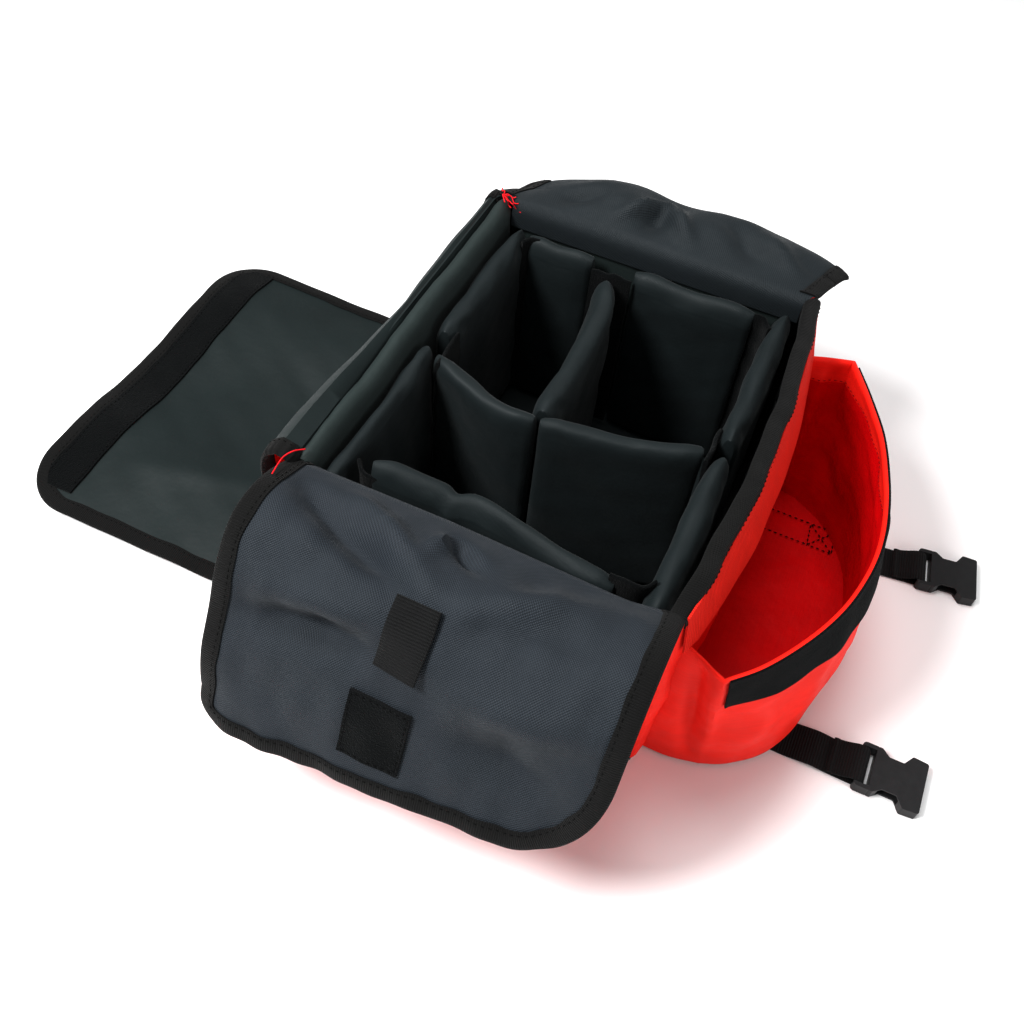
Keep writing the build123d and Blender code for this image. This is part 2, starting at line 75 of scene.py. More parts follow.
# ---------------------------------------------------------------- materials
class Shade:
    """A procedural material, built node by node."""

    def __init__(self, name, **constants):
        self.material = bpy.data.materials.new(name)
        self.material.use_nodes = True
        self.tree = self.material.node_tree
        self.shader = self.tree.nodes["Principled BSDF"]
        for socket, value in constants.items():
            self.shader.inputs[socket.replace("_", " ")].default_value = value

    def node(self, kind, inputs=(), **settings):
        made = self.tree.nodes.new(kind)
        for key, value in settings.items():
            setattr(made, key, value)
        for socket, value in dict(inputs).items():
            self.feed(made.inputs[socket], value)
        return made

    def feed(self, socket, value):
        if isinstance(value, bpy.types.NodeSocket):
            self.tree.links.new(value, socket)
        else:
            socket.default_value = value

    def math(self, operation, a, b=0.0, c=0.0):
        return self.node("ShaderNodeMath", {0: a, 1: b, 2: c}, operation=operation).outputs[0]

    def mix(self, share, a, b):
        made = self.node("ShaderNodeMix", data_type="RGBA")
        self.feed(made.inputs[0], share)
        self.feed(made.inputs[6], a)
        self.feed(made.inputs[7], b)
        return made.outputs[2]

    def place(self, on_cloth):
        """Coordinates in millimetres: along the cloth where it has them, or in space."""
        if on_cloth:
            return self.node("ShaderNodeAttribute", attribute_name="cloth").outputs["Vector"]
        spot = self.node("ShaderNodeTexCoord").outputs["Object"]
        scaled = self.node("ShaderNodeVectorMath", {0: spot, 1: (1e3, 1e3, 1e3)})
        scaled.operation = "MULTIPLY"
        return scaled.outputs[0]

    def noise(self, place, size, detail=3.0, roughness=0.55):
        made = self.node(
            "ShaderNodeTexNoise",
            {"Vector": place, "Scale": 1.0 / size, "Detail": detail, "Roughness": roughness},
        )
        return made.outputs["Fac"]

    def wave(self, axis, pitch):
        """A smooth ridge every pitch, from 0 to 1."""
        turn = self.math("MULTIPLY", axis, 2 * math.pi / pitch)
        return self.math("MULTIPLY_ADD", self.math("SINE", turn), 0.5, 0.5)

    def bump(self, height, distance, strength=1.0, under=None):
        inputs = {"Height": height, "Distance": distance * MM, "Strength": strength}
        if under is not None:
            inputs["Normal"] = under
        return self.node("ShaderNodeBump", inputs).outputs[0]

    def finish(self, color, tone, gains, normal, worn, spread, smoothest):
        """Colour between two gains by tone, the bumps, and roughness that rises with wear."""
        dark, light = gains
        self.feed(self.shader.inputs["Base Color"], self.mix(tone, rgba(color, dark), rgba(color, light)))
        self.feed(self.shader.inputs["Normal"], normal)
        self.feed(self.shader.inputs["Roughness"], self.math("MULTIPLY_ADD", worn, spread, smoothest))
        return self.material


def rgba(color, gain=1.0):
    return tuple(min(1.0, c * gain) for c in color) + (1.0,)


def woven(name, color, pitch, depth=0.12, contrast=0.35, rough=0.6, sheen=0.2, rumple=0.25, shine=0.3):
    """Plain-weave nylon: threads over and under, faint streaks, and soft small creases."""
    shade = Shade(name, Sheen_Weight=sheen, Sheen_Roughness=0.4, Specular_IOR_Level=shine)
    place = shade.place(True)
    axes = shade.node("ShaderNodeSeparateXYZ", {0: place}).outputs
    warp, weft = shade.wave(axes[0], pitch), shade.wave(axes[1], pitch)
    over = shade.math("MULTIPLY", warp, weft)
    under = shade.math("MULTIPLY", shade.math("SUBTRACT", 1.0, warp), shade.math("SUBTRACT", 1.0, weft))
    weave = shade.math("ADD", over, under)
    streak = shade.noise(shade.node("ShaderNodeMapping", {0: place, 3: (0.04, 1.2, 1)}).outputs[0], 1.0)
    blotch = shade.noise(place, 38.0)
    worn = shade.noise(place, 7.0, 5.0)
    tone = shade.math("ADD", shade.math("MULTIPLY", weave, contrast), shade.math("MULTIPLY", streak, 0.22))
    tone = shade.math("ADD", tone, shade.math("MULTIPLY", blotch, 0.35))
    tone = shade.math("MULTIPLY", tone, 1 / (contrast + 0.45))
    gains = (0.75 - 0.35 * contrast, 1.25 + 0.45 * contrast)
    soft = shade.bump(shade.noise(place, 11.0, 4.0), 0.9, rumple)
    return shade.finish(color, tone, gains, shade.bump(weave, depth, 0.8, soft), worn, 0.22, rough - 0.11)


def ribbed(name, color, pitch, depth=0.25, rough=0.62, sheen=0.15, cross=0.45):
    """Webbing or tape: ribs across its width, fine threads along it, and fuzz."""
    shade = Shade(name, Sheen_Weight=sheen, Sheen_Roughness=0.45, Specular_IOR_Level=0.15)
    place = shade.place(True)
    axes = shade.node("ShaderNodeSeparateXYZ", {0: place}).outputs
    wobble = shade.math("MULTIPLY", shade.noise(place, 2.2), pitch * 0.5)
    ribs = shade.wave(shade.math("ADD", axes[0], wobble), pitch)
    threads = shade.wave(axes[1], pitch * cross)
    height = shade.math("MULTIPLY_ADD", threads, 0.35, ribs)
    blotch = shade.noise(place, 16.0, 4.0)
    fuzz = shade.noise(place, 0.5, 2.0)
    tone = shade.math("MULTIPLY_ADD", ribs, 0.38, shade.math("MULTIPLY", blotch, 0.4))
    tone = shade.math("MULTIPLY_ADD", fuzz, 0.25, tone)
    return shade.finish(color, tone, (0.5, 1.5), shade.bump(height, depth, 0.9), blotch, 0.2, rough - 0.1)


def velcro(name, color):
    """Hook or loop tape: a dense mat of tiny tangled loops."""
    shade = Shade(name, Sheen_Weight=0.06, Sheen_Roughness=0.6, Specular_IOR_Level=0.04)
    place = shade.place(True)
    cells = shade.node("ShaderNodeTexVoronoi", {"Vector": place, "Scale": 1.15}).outputs["Distance"]
    curls = shade.noise(place, 0.8, 4.0, 0.7)
    patches = shade.noise(place, 6.0, 4.0)
    height = shade.math("ADD", shade.math("MULTIPLY", cells, 0.8), curls)
    tone = shade.math("MULTIPLY_ADD", curls, 0.9, shade.math("MULTIPLY", patches, 0.5))
    tone = shade.math("SUBTRACT", tone, 0.25)
    return shade.finish(color, tone, (0.45, 2.3), shade.bump(height, 0.5), patches, 0.15, 0.8)


def moulded(name, color):
    """Moulded plastic with a fine spark-eroded grain and lightly rubbed high spots."""
    shade = Shade(name, Specular_IOR_Level=0.3, Coat_Weight=0.03, Coat_Roughness=0.4)
    place = shade.place(False)
    grain = shade.noise(place, 0.35, 2.0)
    scuff = shade.noise(place, 5.0, 6.0, 0.7)
    return shade.finish(color, scuff, (0.75, 1.35), shade.bump(grain, 0.05, 0.6), scuff, 0.24, 0.3)


def thread(name, color):
    """Twisted sewing thread."""
    shade = Shade(name, Sheen_Weight=0.02, Specular_IOR_Level=0.1)
    place = shade.place(False)
    twist = shade.noise(place, 0.6, 2.0)
    return shade.finish(color, twist, (0.6, 1.5), shade.bump(twist, 0.1), twist, 0.2, 0.5)


MATS = {
    "red": woven("red_coated_nylon", (0.76, 0.025, 0.014), 1.0, 0.07, 0.12, 0.55, 0.0, 0.35, 0.2),
    "red_inside": woven("red_nylon_inside", (0.62, 0.003, 0.006), 1.0, 0.06, 0.1, 0.5, 0.0, 0.9, 0.12),
    "red_rib": ribbed("red_grosgrain", (0.86, 0.026, 0.014), 1.5, 0.5, 0.65, 0.0),
    "binding": ribbed("binding_tape", (0.0085, 0.0085, 0.0083), 1.3, 0.35, 0.72, 0.05),
    "webbing": ribbed("black_webbing", (0.0095, 0.0098, 0.01), 1.7, 0.4, 0.62, 0.05),
    "flap": woven("flap_nylon", (0.0195, 0.0252, 0.032), 1.5, 0.36, 1.2, 0.62, 0.08, 0.5),
    # The far flap's nylon is the near flap's nylon made darker: painted shade on the far flap.
    "flap_painted_shade": woven("far_flap_nylon_painted_shade", (0.0145, 0.0198, 0.0232), 1.5, 0.3, 0.8, 0.6, 0.06, 0.5),
    "lid": woven("lid_lining", (0.0105, 0.0175, 0.0178), 0.9, 0.06, 0.25, 0.56, 0.05, 0.4),
    "pad": woven("pad_nylon", (0.0112, 0.0168, 0.0182), 0.95, 0.12, 0.6, 0.58, 0.08, 0.4),
    # The wall rolls' nylon is the dark lining made about twice as light: painted light from above on the rolls.
    "roll": woven("roll_nylon_painted_light", (0.023, 0.0335, 0.0325), 0.95, 0.12, 0.6, 0.56, 0.1, 0.4),
    "velcro": velcro("hook_and_loop_tape", (0.0018, 0.0025, 0.0028)),
    "plastic": moulded("buckle_plastic", (0.021, 0.0215, 0.0225)),
    "board": moulded("board_plastic", (0.05, 0.05, 0.05)),
    "black_thread": thread("black_thread", (0.003, 0.003, 0.003)),
    "red_thread": thread("red_thread", (0.7, 0.02, 0.03)),
    "dark_red_thread": thread("dark_red_thread", (0.3, 0.004, 0.006)),
}


# ---------------------------------------------------------------- geometry helpers
def unit(v):
    return v / np.maximum(np.linalg.norm(v, axis=-1, keepdims=True), 1e-9)


def ripple(a, b, seed, length, count=6):
    """Soft folds between about -1 and 1: seeded plane waves added up."""
    rng = np.random.RandomState(seed)
    total = 0.0 * (a + b)
    for _ in range(count):
        angle = rng.uniform(0, math.pi)
        reach = length * rng.uniform(0.6, 1.8)
        phase = rng.uniform(0, 2 * math.pi)
        total = total + np.sin(2 * math.pi * (a * math.cos(angle) + b * math.sin(angle)) / reach + phase)
    return total / math.sqrt(count)


def creases(a, b, rows):
    """Several fold lines added up."""
    return sum(crease(a, b, *row) for row in rows)


def crease(a, b, start, end, width, height):
    """A fold line between two points of the cloth, fading towards its ends."""
    start, end = np.array(start, float), np.array(end, float)
    run = end - start
    t = ((a - start[0]) * run[0] + (b - start[1]) * run[1]) / (run @ run)
    near = clamp(t)
    gap = np.hypot(a - start[0] - near * run[0], b - start[1] - near * run[1])
    return height * np.exp(-((gap / width) ** 2)) * np.sin(math.pi * clamp(0.1 + 0.8 * near))


def smooth_line(points, count=200):
    """A smooth open curve through the points, evenly spaced."""
    p = np.array(points, float)
    p = np.vstack([2 * p[0] - p[1], p, 2 * p[-1] - p[-2]])
    out = []
    for i in range(1, len(p) - 2):
        t = np.linspace(0, 1, 24, endpoint=False)[:, None]
        a, b, c, d = p[i - 1], p[i], p[i + 1], p[i + 2]
        square, cube = 2 * a - 5 * b + 4 * c - d, 3 * b - a - 3 * c + d
        out.append(0.5 * (2 * b + (c - a) * t + square * t**2 + cube * t**3))
    return even(np.vstack(out + [p[-2][None]]), count)


def even(points, count):
    """The same line with evenly spaced points."""
    points = np.array(points, float)
    run = distances(points)
    at = np.linspace(0, run[-1], count)
    return np.stack([np.interp(at, run, points[:, k]) for k in range(points.shape[1])], axis=1)


def distances(points):
    """How far along a line each of its points lies."""
    return np.concatenate([[0], np.cumsum(np.linalg.norm(np.diff(points, axis=0), axis=1))])


def clamp(v):
    """Held between 0 and 1."""
    return np.clip(v, 0, 1)


def grid(a, b):
    return np.meshgrid(a, b, indexing="ij")


def join(*parts):
    """Separate coordinates as points."""
    return np.stack(np.broadcast_arrays(*parts), axis=-1)


def line_length(points):
    return float(np.sum(np.linalg.norm(np.diff(np.array(points, float), axis=0), axis=1)))


def link(name, data):
    made = bpy.data.objects.new(name, data)
    bpy.context.scene.collection.objects.link(made)
    return made


def make_mesh(name, points, faces, cloth, materials, slots=None, body=None, sharp=55):
    """A smooth mesh in metres with the cloth's own coordinates stored on it."""
    mesh = bpy.data.meshes.new(name)
    mesh.from_pydata((np.asarray(points) * MM).tolist(), [], [list(map(int, f)) for f in faces])
    attribute = mesh.attributes.new("cloth", "FLOAT_VECTOR", "POINT")
    flat = np.zeros((len(points), 3), np.float32)
    flat[:, : np.asarray(cloth).shape[1]] = cloth
    attribute.data.foreach_set("vector", flat.ravel())
    for key in materials:
        mesh.materials.append(MATS[key])
    if slots is not None:
        mesh.polygons.foreach_set("material_index", np.asarray(slots, np.int32))
    mesh.polygons.foreach_set("use_smooth", np.ones(len(mesh.polygons), bool))
    mesh.update()
    mesh.set_sharp_from_angle(angle=math.radians(sharp))
    piece = link(name, mesh)
    if body:
        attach(piece, body)
    return piece


def grid_normals(points):
    return unit(np.cross(np.gradient(points, axis=0), np.gradient(points, axis=1)))


def loop_normals(points):
    """Normals of a grid whose last row lies on its first."""
    return grid_normals(np.concatenate([points[-2:-1], points, points[1:2]], axis=0))[1:-1]


def tube_faces(index):
    """Faces round a line of closed rings, and one across each end."""
    a, b = index[:-1], index[1:]
    faces = join(a, np.roll(a, -1, 1), np.roll(b, -1, 1), b).reshape(-1, 4).tolist()
    return faces + [index[0][::-1].tolist(), index[-1].tolist()]


def sheet_mesh(name, points, cloth, thick, front, back, body=None, loop=False, normals=None):
    """A sheet of cloth from a grid of points: front along its normals, back, and its edges."""
    rows, cols = points.shape[:2]
    if normals is None:
        normals = loop_normals(points) if loop else grid_normals(points)
    half = normals * (thick / 2)
    both = np.concatenate([(points + half).reshape(-1, 3), (points - half).reshape(-1, 3)])
    count = rows * cols
    index = np.arange(count).reshape(rows, cols)
    if loop:
        index[-1] = index[0]
    a, b, c, d = index[:-1, :-1], index[1:, :-1], index[1:, 1:], index[:-1, 1:]
    top = join(a, b, c, d).reshape(-1, 4)
    edges = [index[:, 0][::-1], index[:, -1]]
    if not loop:
        edges += [index[0], index[-1][::-1]]
    rim = [join(e[:-1], e[1:], e[1:] + count, e[:-1] + count)[:, ::-1] for e in edges]
    faces = np.concatenate([top, top[:, ::-1] + count] + rim)
    slots = [0] * len(top) + [1] * (len(faces) - len(top))
    flat = np.concatenate([cloth.reshape(-1, cloth.shape[-1])] * 2)
    if loop:
        used = np.zeros(len(both), bool)
        used[np.unique(faces)] = True
        renumber = np.cumsum(used) - 1
        both, flat, faces = both[used], flat[used], renumber[faces]
    return make_mesh(name, both, faces, flat, [front, back], slots, body)


def strip_mesh(name, centre, across, up, thick, body=None):
    """Webbing along a line: a flat band with rounded edges, and closed ends."""
    half, t = WEBBING / 2, thick / 2
    r = min(t, 0.5)
    side = t - r * 0.7
    extra = np.linspace(-half + r, half - r, 7)
    ring = [(x, t) for x in extra] + [(half, side), (half, -side)]
    ring = np.array(ring + [(x, -t) for x in extra[::-1]] + [(-half, -side), (-half, side)])
    across = unit(np.broadcast_to(np.array(across, float), centre.shape))
    points = centre[:, None] + across[:, None] * ring[None, :, :1] + unit(up)[:, None] * ring[None, :, 1:]
    run = distances(centre)
    cloth = join(run[:, None], ring[None, :, 0], ring[None, :, 1])
    faces = tube_faces(np.arange(len(centre) * len(ring)).reshape(len(centre), len(ring)))
    key, slot = "webbing", "black_webbing"
    return make_mesh(name, points.reshape(-1, 3), faces, cloth.reshape(-1, 3), [key], None, body, 50)


def stitches(name, line, normals, body=None, key="black_thread", length=2.6, gap=1.3, radius=0.32):
    """A row of stitches: short raised lengths of thread along a line on the cloth."""
    total = line_length(line)
    count = max(2, int(total / (length + gap)))
    run = distances(line)
    normals = np.broadcast_to(np.array(normals, float), line.shape)

    def at(s):
        spot = np.array([np.interp(s, run, line[:, k]) for k in range(3)])
        up = np.array([np.interp(s, run, normals[:, k]) for k in range(3)])
        return spot, up / np.linalg.norm(up)

    points, faces = [], []
    for i in range(count):
        s0 = (i + 0.2) * total / count
        s1 = s0 + length
        (p0, up), (p1, _), (pm, _) = at(s0), at(min(s1, total)), at(min((s0 + s1) / 2, total))
        side = unit(np.cross(p1 - p0, up)) * radius
        a, b, left, right, top, under = range(len(points), len(points) + 6)
        points += [p0, p1, pm + side, pm - side, pm + up * radius * 1.5, pm - up * radius]
        for c, d in ((left, top), (top, right), (right, under), (under, left)):
            faces += [(a, c, d), (b, d, c)]
    return make_mesh(name, points, faces, np.array(points), [key], None, body, 180)


# ---------------------------------------------------------------- shell
HALF_X, HALF_Y, TOP = 135.0, 112.5, 164.0
CORNER = 7.0
WEBBING = 25.0
STRAP_X = {"near": -75.0, "far": 87.0}
SEAM_STEP = 2.2
CLOTH = 1.6
TAPE = 10.0


def bow(x):
    """How far the front wall bows out of line, from 0 at its ends to 1 at its middle."""
    return clamp(1 - (x / HALF_X) ** 2)


def wall_bulge(z):
    """The front wall swells below its rim and draws in again at the floor."""
    return np.interp(z, [0, 12, 60, 118, 134, 150, 158, 164], [1.0, 2.5, 6.0, 7.6, 7.4, 4.0, 1.6, 0.0])


def front_wall_y(x, z):
    """Outer face of the front wall."""
    ends = clamp((HALF_X - np.abs(x)) / 16) ** 0.6
    return -HALF_Y - 9.0 * bow(x) - wall_bulge(z) * (0.6 + 0.4 * bow(x)) * ends


def shell_outline(count=300):
    """Once round the bag at its top edge, with rounded corners, from the back right corner."""
    loop = []
    for sx, sy, turn in [(1, 1, 0), (-1, 1, 90), (-1, -1, 180), (1, -1, 270)]:
        for angle in np.radians(np.linspace(turn, turn + 90, 8)):
            x = sx * (HALF_X - CORNER) + CORNER * math.cos(angle)
            loop.append((x, sy * (HALF_Y - CORNER) + CORNER * math.sin(angle)))
    return even(loop + loop[:1], count)


def shell():
    """The outer fabric: one lofted wall that sags and swells, and the floor under it."""
    outline = shell_outline()
    heights = np.concatenate([[1.2, 2.4, 5.0], np.linspace(9, 158, 46), [161, TOP]])
    s, z = grid(distances(outline), heights)
    x = np.repeat(outline[:, :1], len(heights), 1)
    y = np.repeat(outline[:, 1:], len(heights), 1)
    front = clamp((-y - HALF_Y + CORNER) / CORNER)
    y = y * (1 - front) + front_wall_y(x, z) * front
    side = clamp((np.abs(x) - HALF_X + CORNER) / CORNER)
    middle = clamp(1 - (y / HALF_Y) ** 2)
    tall = clamp(z / TOP)
    x = x + np.sign(x) * side * middle * 2.2 * np.sin(math.pi * tall) ** 0.8
    back = clamp((y - HALF_Y + CORNER) / CORNER)
    y = y + back * 0.6 * np.sin(math.pi * z / TOP) * bow(x)
    folds = ripple(s, z, 3, 70) * 0.9 + ripple(s, z, 4, 26) * 0.35
    points = join(x, y, z)
    shift = folds * np.sin(math.pi * tall) ** 0.6 * (1 - 0.7 * back)
    points = points + loop_normals(points) * shift[..., None]
    foot = clamp(1 - z / 7.0) ** 2
    points[..., :2] *= 1 - 0.018 * foot[..., None]
    points[..., 2] -= near_dip(points[..., 0]) * (z / TOP) ** 3
    points[-1] = points[0]
    cloth = join(s, z)
    piece = sheet_mesh("bag_shell", points, cloth, 1.2, "red", "lid", "bag_body", loop=True)
    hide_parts("front_skin", "back_skin", "left_skin", "right_skin")
    rings = np.linspace(1.0, 0.0, 30)
    floor = points[:, :1, :2] * rings[None, :, None]
    under = ripple(floor[..., 0], floor[..., 1], 8, 60) * 0.25 * (1 - rings[None] ** 4)
    base = join(floor[..., 0], floor[..., 1], 1.0 + np.clip(under, -0.3, 0.6))[:, :-1]
    bottom = sheet_mesh(
        "bag_floor", base, floor[:, :-1], 1.2, "red", "lid", "bag_body",
        loop=True, normals=np.broadcast_to((0, 0, -1.0), base.shape),
    )
    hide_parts("bottom_skin")


def near_dip(x):
    """How far the rim hangs down at the bag's near end, under the weight of the flap."""
    share = clamp((-x - 108) / 20)
    return 6.5 * share**2 * (3 - 2 * share)


def front_rim():
    """Ribbed band leaning off the front wall, the tape over the wall's edge, and its stitching."""
    x, down = grid(np.linspace(-131, 131, 130), np.linspace(0, 1, 16))
    z = 161.5 - 31.0 * down
    lean = 1.6 + 3.4 * down**1.5 * (0.4 + 0.6 * bow(x)) + 0.7 * ripple(x, z, 21, 55) * down
    points = join(x, front_wall_y(x, z) - lean, z)
    cloth = join(x, WEBBING * down)
    band = sheet_mesh("rim_band", points, cloth, 1.2, "red_rib", "red_rib", "bag_body",
                      normals=-grid_normals(points))
    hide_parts("front_rim_webbing")
    turn = [(-1.9, -4.6), (-2.1, -2.6), (-1.9, -0.4), (-0.9, 1.2), (1.5, 1.9), (4.5, 1.9), (6.8, 1.0),
            (7.6, -1.5), (7.8, -7.5)]
    profile = smooth_line(turn, 26)
    x, run = grid(np.linspace(-133, 133, 170), distances(profile))
    y = front_wall_y(x, np.full_like(x, TOP)) + profile[None, :, 0] + 0.5 * ripple(x, 0 * x, 5, 40)
    lean = np.interp(profile[:, 1], [-12, -6, 0], [2.2, 0.9, 0])[None] * (0.3 + 0.7 * bow(x))
    z = TOP + profile[None, :, 1] + 0.3 * ripple(x, y, 6, 25)
    points = join(x, y - lean, z - 0.7 * near_dip(x))
    cloth = join(x, run)
    tape = sheet_mesh("rim_tape", points, cloth, 0.8, "binding", "binding", "bag_body")
    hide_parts("front_rim_binding")
    stitches("rim_tape_stitches", points[:, 2] + (0, -0.5, 0), (0, -1, 0), "bag_body")


def padding_roll(name, node, across, seed, puff, top_soft, shorter=0.0, lower=0.0, bowed=False):
    """Foam in a wall, covered in lining: crowned faces and a rounded, slightly lumpy top."""
    low, high = box(node)
    along = 1 - across
    low[along] += shorter
    high[along] -= shorter
    high[2] -= lower
    length = high[along] - low[along]
    half = (6.0 if bowed else high[across] - low[across]) / 2
    shoulder = high[2] - top_soft
    side = np.linspace(shoulder - 4, low[2], 22)
    ring = [(half, z) for z in side[::-1]]
    ring += [(math.cos(a) * half, shoulder + math.sin(a) * top_soft) for a in np.linspace(0, math.pi, 15)]
    ring = np.array(ring + [(-half, z) for z in side])
    steps = np.linspace(0, length, max(20, int(length / 4)))
    s, k = grid(steps, np.arange(len(ring)))
    a, z = ring[k, 0], ring[k, 1]
    lump = ripple(s, 0.5 * z, seed, 75) * 0.7 + ripple(s, z + a, seed + 1, 17) * 0.22
    ends = clamp(np.minimum(s, length - s) / 6) ** 0.5
    drop = clamp((z - low[2]) / (high[2] - low[2]))
    a = a * (0.72 + 0.28 * ends) * (1 + puff * np.sin(math.pi * drop) * ends)
    z = z + (lump - 0.4 + (1 - ends) * -1.5) * clamp((z - high[2] + 14) / 14)
    a = a + lump * 0.35
    points = np.zeros(s.shape + (3,))
    points[..., along] = low[along] + s
    if bowed:
        place = front_wall_y(points[..., 0], z) + 2.2 + half + a
    else:
        place = (low[across] + high[across]) / 2 + a
        skin = np.where(z < TOP - 9, 0.4, -3.0)
        if high[across] > 0:
            place = np.minimum(place, high[across] - skin)
        else:
            place = np.maximum(place, low[across] + skin)
    points[..., across] = place
    points[..., 2] = z
    cloth = join(s, z + a)
    faces = tube_faces(np.arange(s.size).reshape(s.shape))
    if across == 0:
        faces = [f[::-1] for f in faces]
    points, cloth = points.reshape(-1, 3), cloth.reshape(-1, 2)
    # The rolls take the lighter roll nylon: painted light from above.
    piece = make_mesh(name, points, faces, cloth, ["roll"], None, "bag_body", 60)
    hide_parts(node)


# ---------------------------------------------------------------- pocket
POCKET_TOP = 128.0
POCKET_FOOT = 2.6
POCKET_CLOTH = 128
HEM = 19
LOOP_FOOT = 29
RIM_LINE = [(-124, -115), (-130, -131), (-135, -143), (-115, -161), (-81, -181), (-47, -193), (-10, -197.5),
            (29, -193), (72, -181), (105, -165), (133, -149), (127, -131), (120, -115)]
FLOOR_LINE = [(-121, -114), (-121, -132), (-117, -150), (-108, -168), (-87, -188), (-45, -202), (0, -208),
              (30, -206), (66, -197), (98, -176), (117, -150), (121, -132), (121, -114)]


def corner_line(points):
    """An outline of three stretches that meet at sharp corners: gusset, front, gusset."""
    near, far = smooth_line(points[:3], 24), smooth_line(points[10:], 24)
    return np.vstack([near[:-1], smooth_line(points[2:11], 110), far[1:]])


def pocket():
    """Bellows pocket: one sheet from gusset to gusset with a hem, a loop strip, and its floor."""
    rim, foot = corner_line(RIM_LINE), corner_line(FLOOR_LINE)
    rise = np.concatenate([np.linspace(0, 0.84, 34), np.linspace(0.86, 1, 12)])
    run = distances(rim)
    s, v = grid(run, rise)
    h = POCKET_CLOTH * v
    plan = foot[:, None] * (1 - v[..., None]) + rim[:, None] * v[..., None]
    z = POCKET_FOOT + (POCKET_TOP - POCKET_FOOT) * v
    z = z + clamp(1 - s / 22) * 3.5 * v
    points = np.concatenate([plan, z[..., None]], axis=-1)
    normals = -grid_normals(points)
    outward = normals * np.sign(normals[..., 1:2].mean() * -1)
    front = clamp(np.minimum(s - 34, run[-1] - 34 - s) / 30)
    belly = 5.0 * np.sin(math.pi * clamp(v)) ** 0.8 * (0.3 + 0.7 * front)
    folds = 1.7 * ripple(s, h, 31, 62) + 0.7 * ripple(s, h, 32, 24)
    folds = folds * np.sin(math.pi * clamp(v * 0.86 + 0.07))
    near_fold = creases(s, h, [((14, 126), (22, 15), 4.5, -6.0), ((27, 118), (31, 40), 4, 2.2),
                               ((30, 88), (62, 60), 8, -3.0)])
    far_fold = crease(s, h, (run[-1] - 19, 120), (run[-1] - 24, 10), 5, -5.5)
    bend = creases(s, h, [((70, 95), (150, 20), 12, 2.4), ((230, 100), (190, 30), 11, -2.2)])
    shift = (belly + folds + near_fold + far_fold + bend) * np.clip((1 - v) * 9, 0.12, 1)
    points = points + outward * shift[..., None]
    cloth = join(s, h)
    walls = sheet_mesh("pocket_walls", points, cloth, 0.9, "red", "red_inside", "bag_body",
                       normals=outward)
    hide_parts("pocket_panel", "pocket_left_gusset", "pocket_right_gusset")
    top = len(rise) - 1
    below = POCKET_CLOTH * (1 - rise)
    hem_row = int(np.argmin(np.abs(below - HEM)))
    rim_points, rim_out = points[:, top], outward[:, top]
    hem = [rim_points + rim_out * 0.9 + (0, 0, -2.0), rim_points + rim_out * 0.85 + (0, 0, 0.1),
           rim_points + (0, 0, 0.6)]
    depth = np.linspace(0, 1, 7)
    for d in depth:
        row = top - d * (top - hem_row)
        i = int(row)
        f = row - i
        level = points[:, i] * (1 - f) + points[:, min(i + 1, top)] * f
        hem.append(level - outward[:, i] * (0.85 + 0.3 * np.sin(d * 9)))
    hem = np.stack(hem, axis=1)
    depth = np.concatenate([[-3, -1.5, -0.5], depth * HEM])
    cloth = join(run[:, None], depth[None])
    sheet_mesh("pocket_hem", hem, cloth, 0.5, "red_inside", "red", "bag_body",
               normals=-grid_normals(hem))
    row_out = outward[:, hem_row + 1]
    line = points[:, hem_row + 1] - row_out * 1.6
    stitches("pocket_hem_stitches", line, -row_out, "bag_body", "dark_red_thread", radius=0.4)
    front = slice(24, len(rim) - 25)
    rows = np.linspace(top, int(np.argmin(np.abs(below - LOOP_FOOT))), 10).astype(int)
    strip = points[front, rows] + outward[front, rows] * 1.6
    cloth = join(run[front, None], np.linspace(0, WEBBING, 10)[None])
    loop = sheet_mesh("pocket_loop", strip, cloth, 1.6, "velcro", "velcro", "bag_body", normals=outward[front, :10])
    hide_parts("pocket_loop_strip")
    wall_x = np.linspace(-119, 119, len(foot))
    wall = join(wall_x, front_wall_y(wall_x, np.full(len(foot), 4.0)) - 0.3)
    share = np.linspace(0, 1, 24)[None, :, None]
    plan = foot[:, None] * (1 - share) + wall[:, None] * share
    wave = np.clip(0.5 * ripple(plan[..., 0], plan[..., 1], 41, 50), -0.4, 0.5)
    z = 2.7 + wave * np.sin(math.pi * share[..., 0])
    base = np.concatenate([plan, z[..., None]], axis=-1)
    floor = sheet_mesh("pocket_base", base, plan, 1.3, "red_inside", "red", "bag_body",
                       normals=np.broadcast_to((0, 0, 1.0), base.shape))
    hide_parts("pocket_floor")
    pocket_stitching()


def pocket_stitching():
    """Where the straps' webbing is sewn on under the pocket: two rows and a crossed box."""
    for name, x in STRAP_X.items():
        a, b, c, d = (x - 10, -186), (x + 10, -184), (x + 10, -166), (x - 10, -168)
        for k, path in enumerate([[a, b, c, d, a], [a, c], [b, d], [d, (x - 10, -126)], [c, (x + 10, -126)]]):
            spots = np.concatenate([even(path, 40), np.full((40, 1), 4.5)], axis=-1)
            stitches(f"pocket_{name}_stitches_{k}", spots, (0, 0, 1), "bag_body",
                     "black_thread", 3.2, 0.9, 0.6)


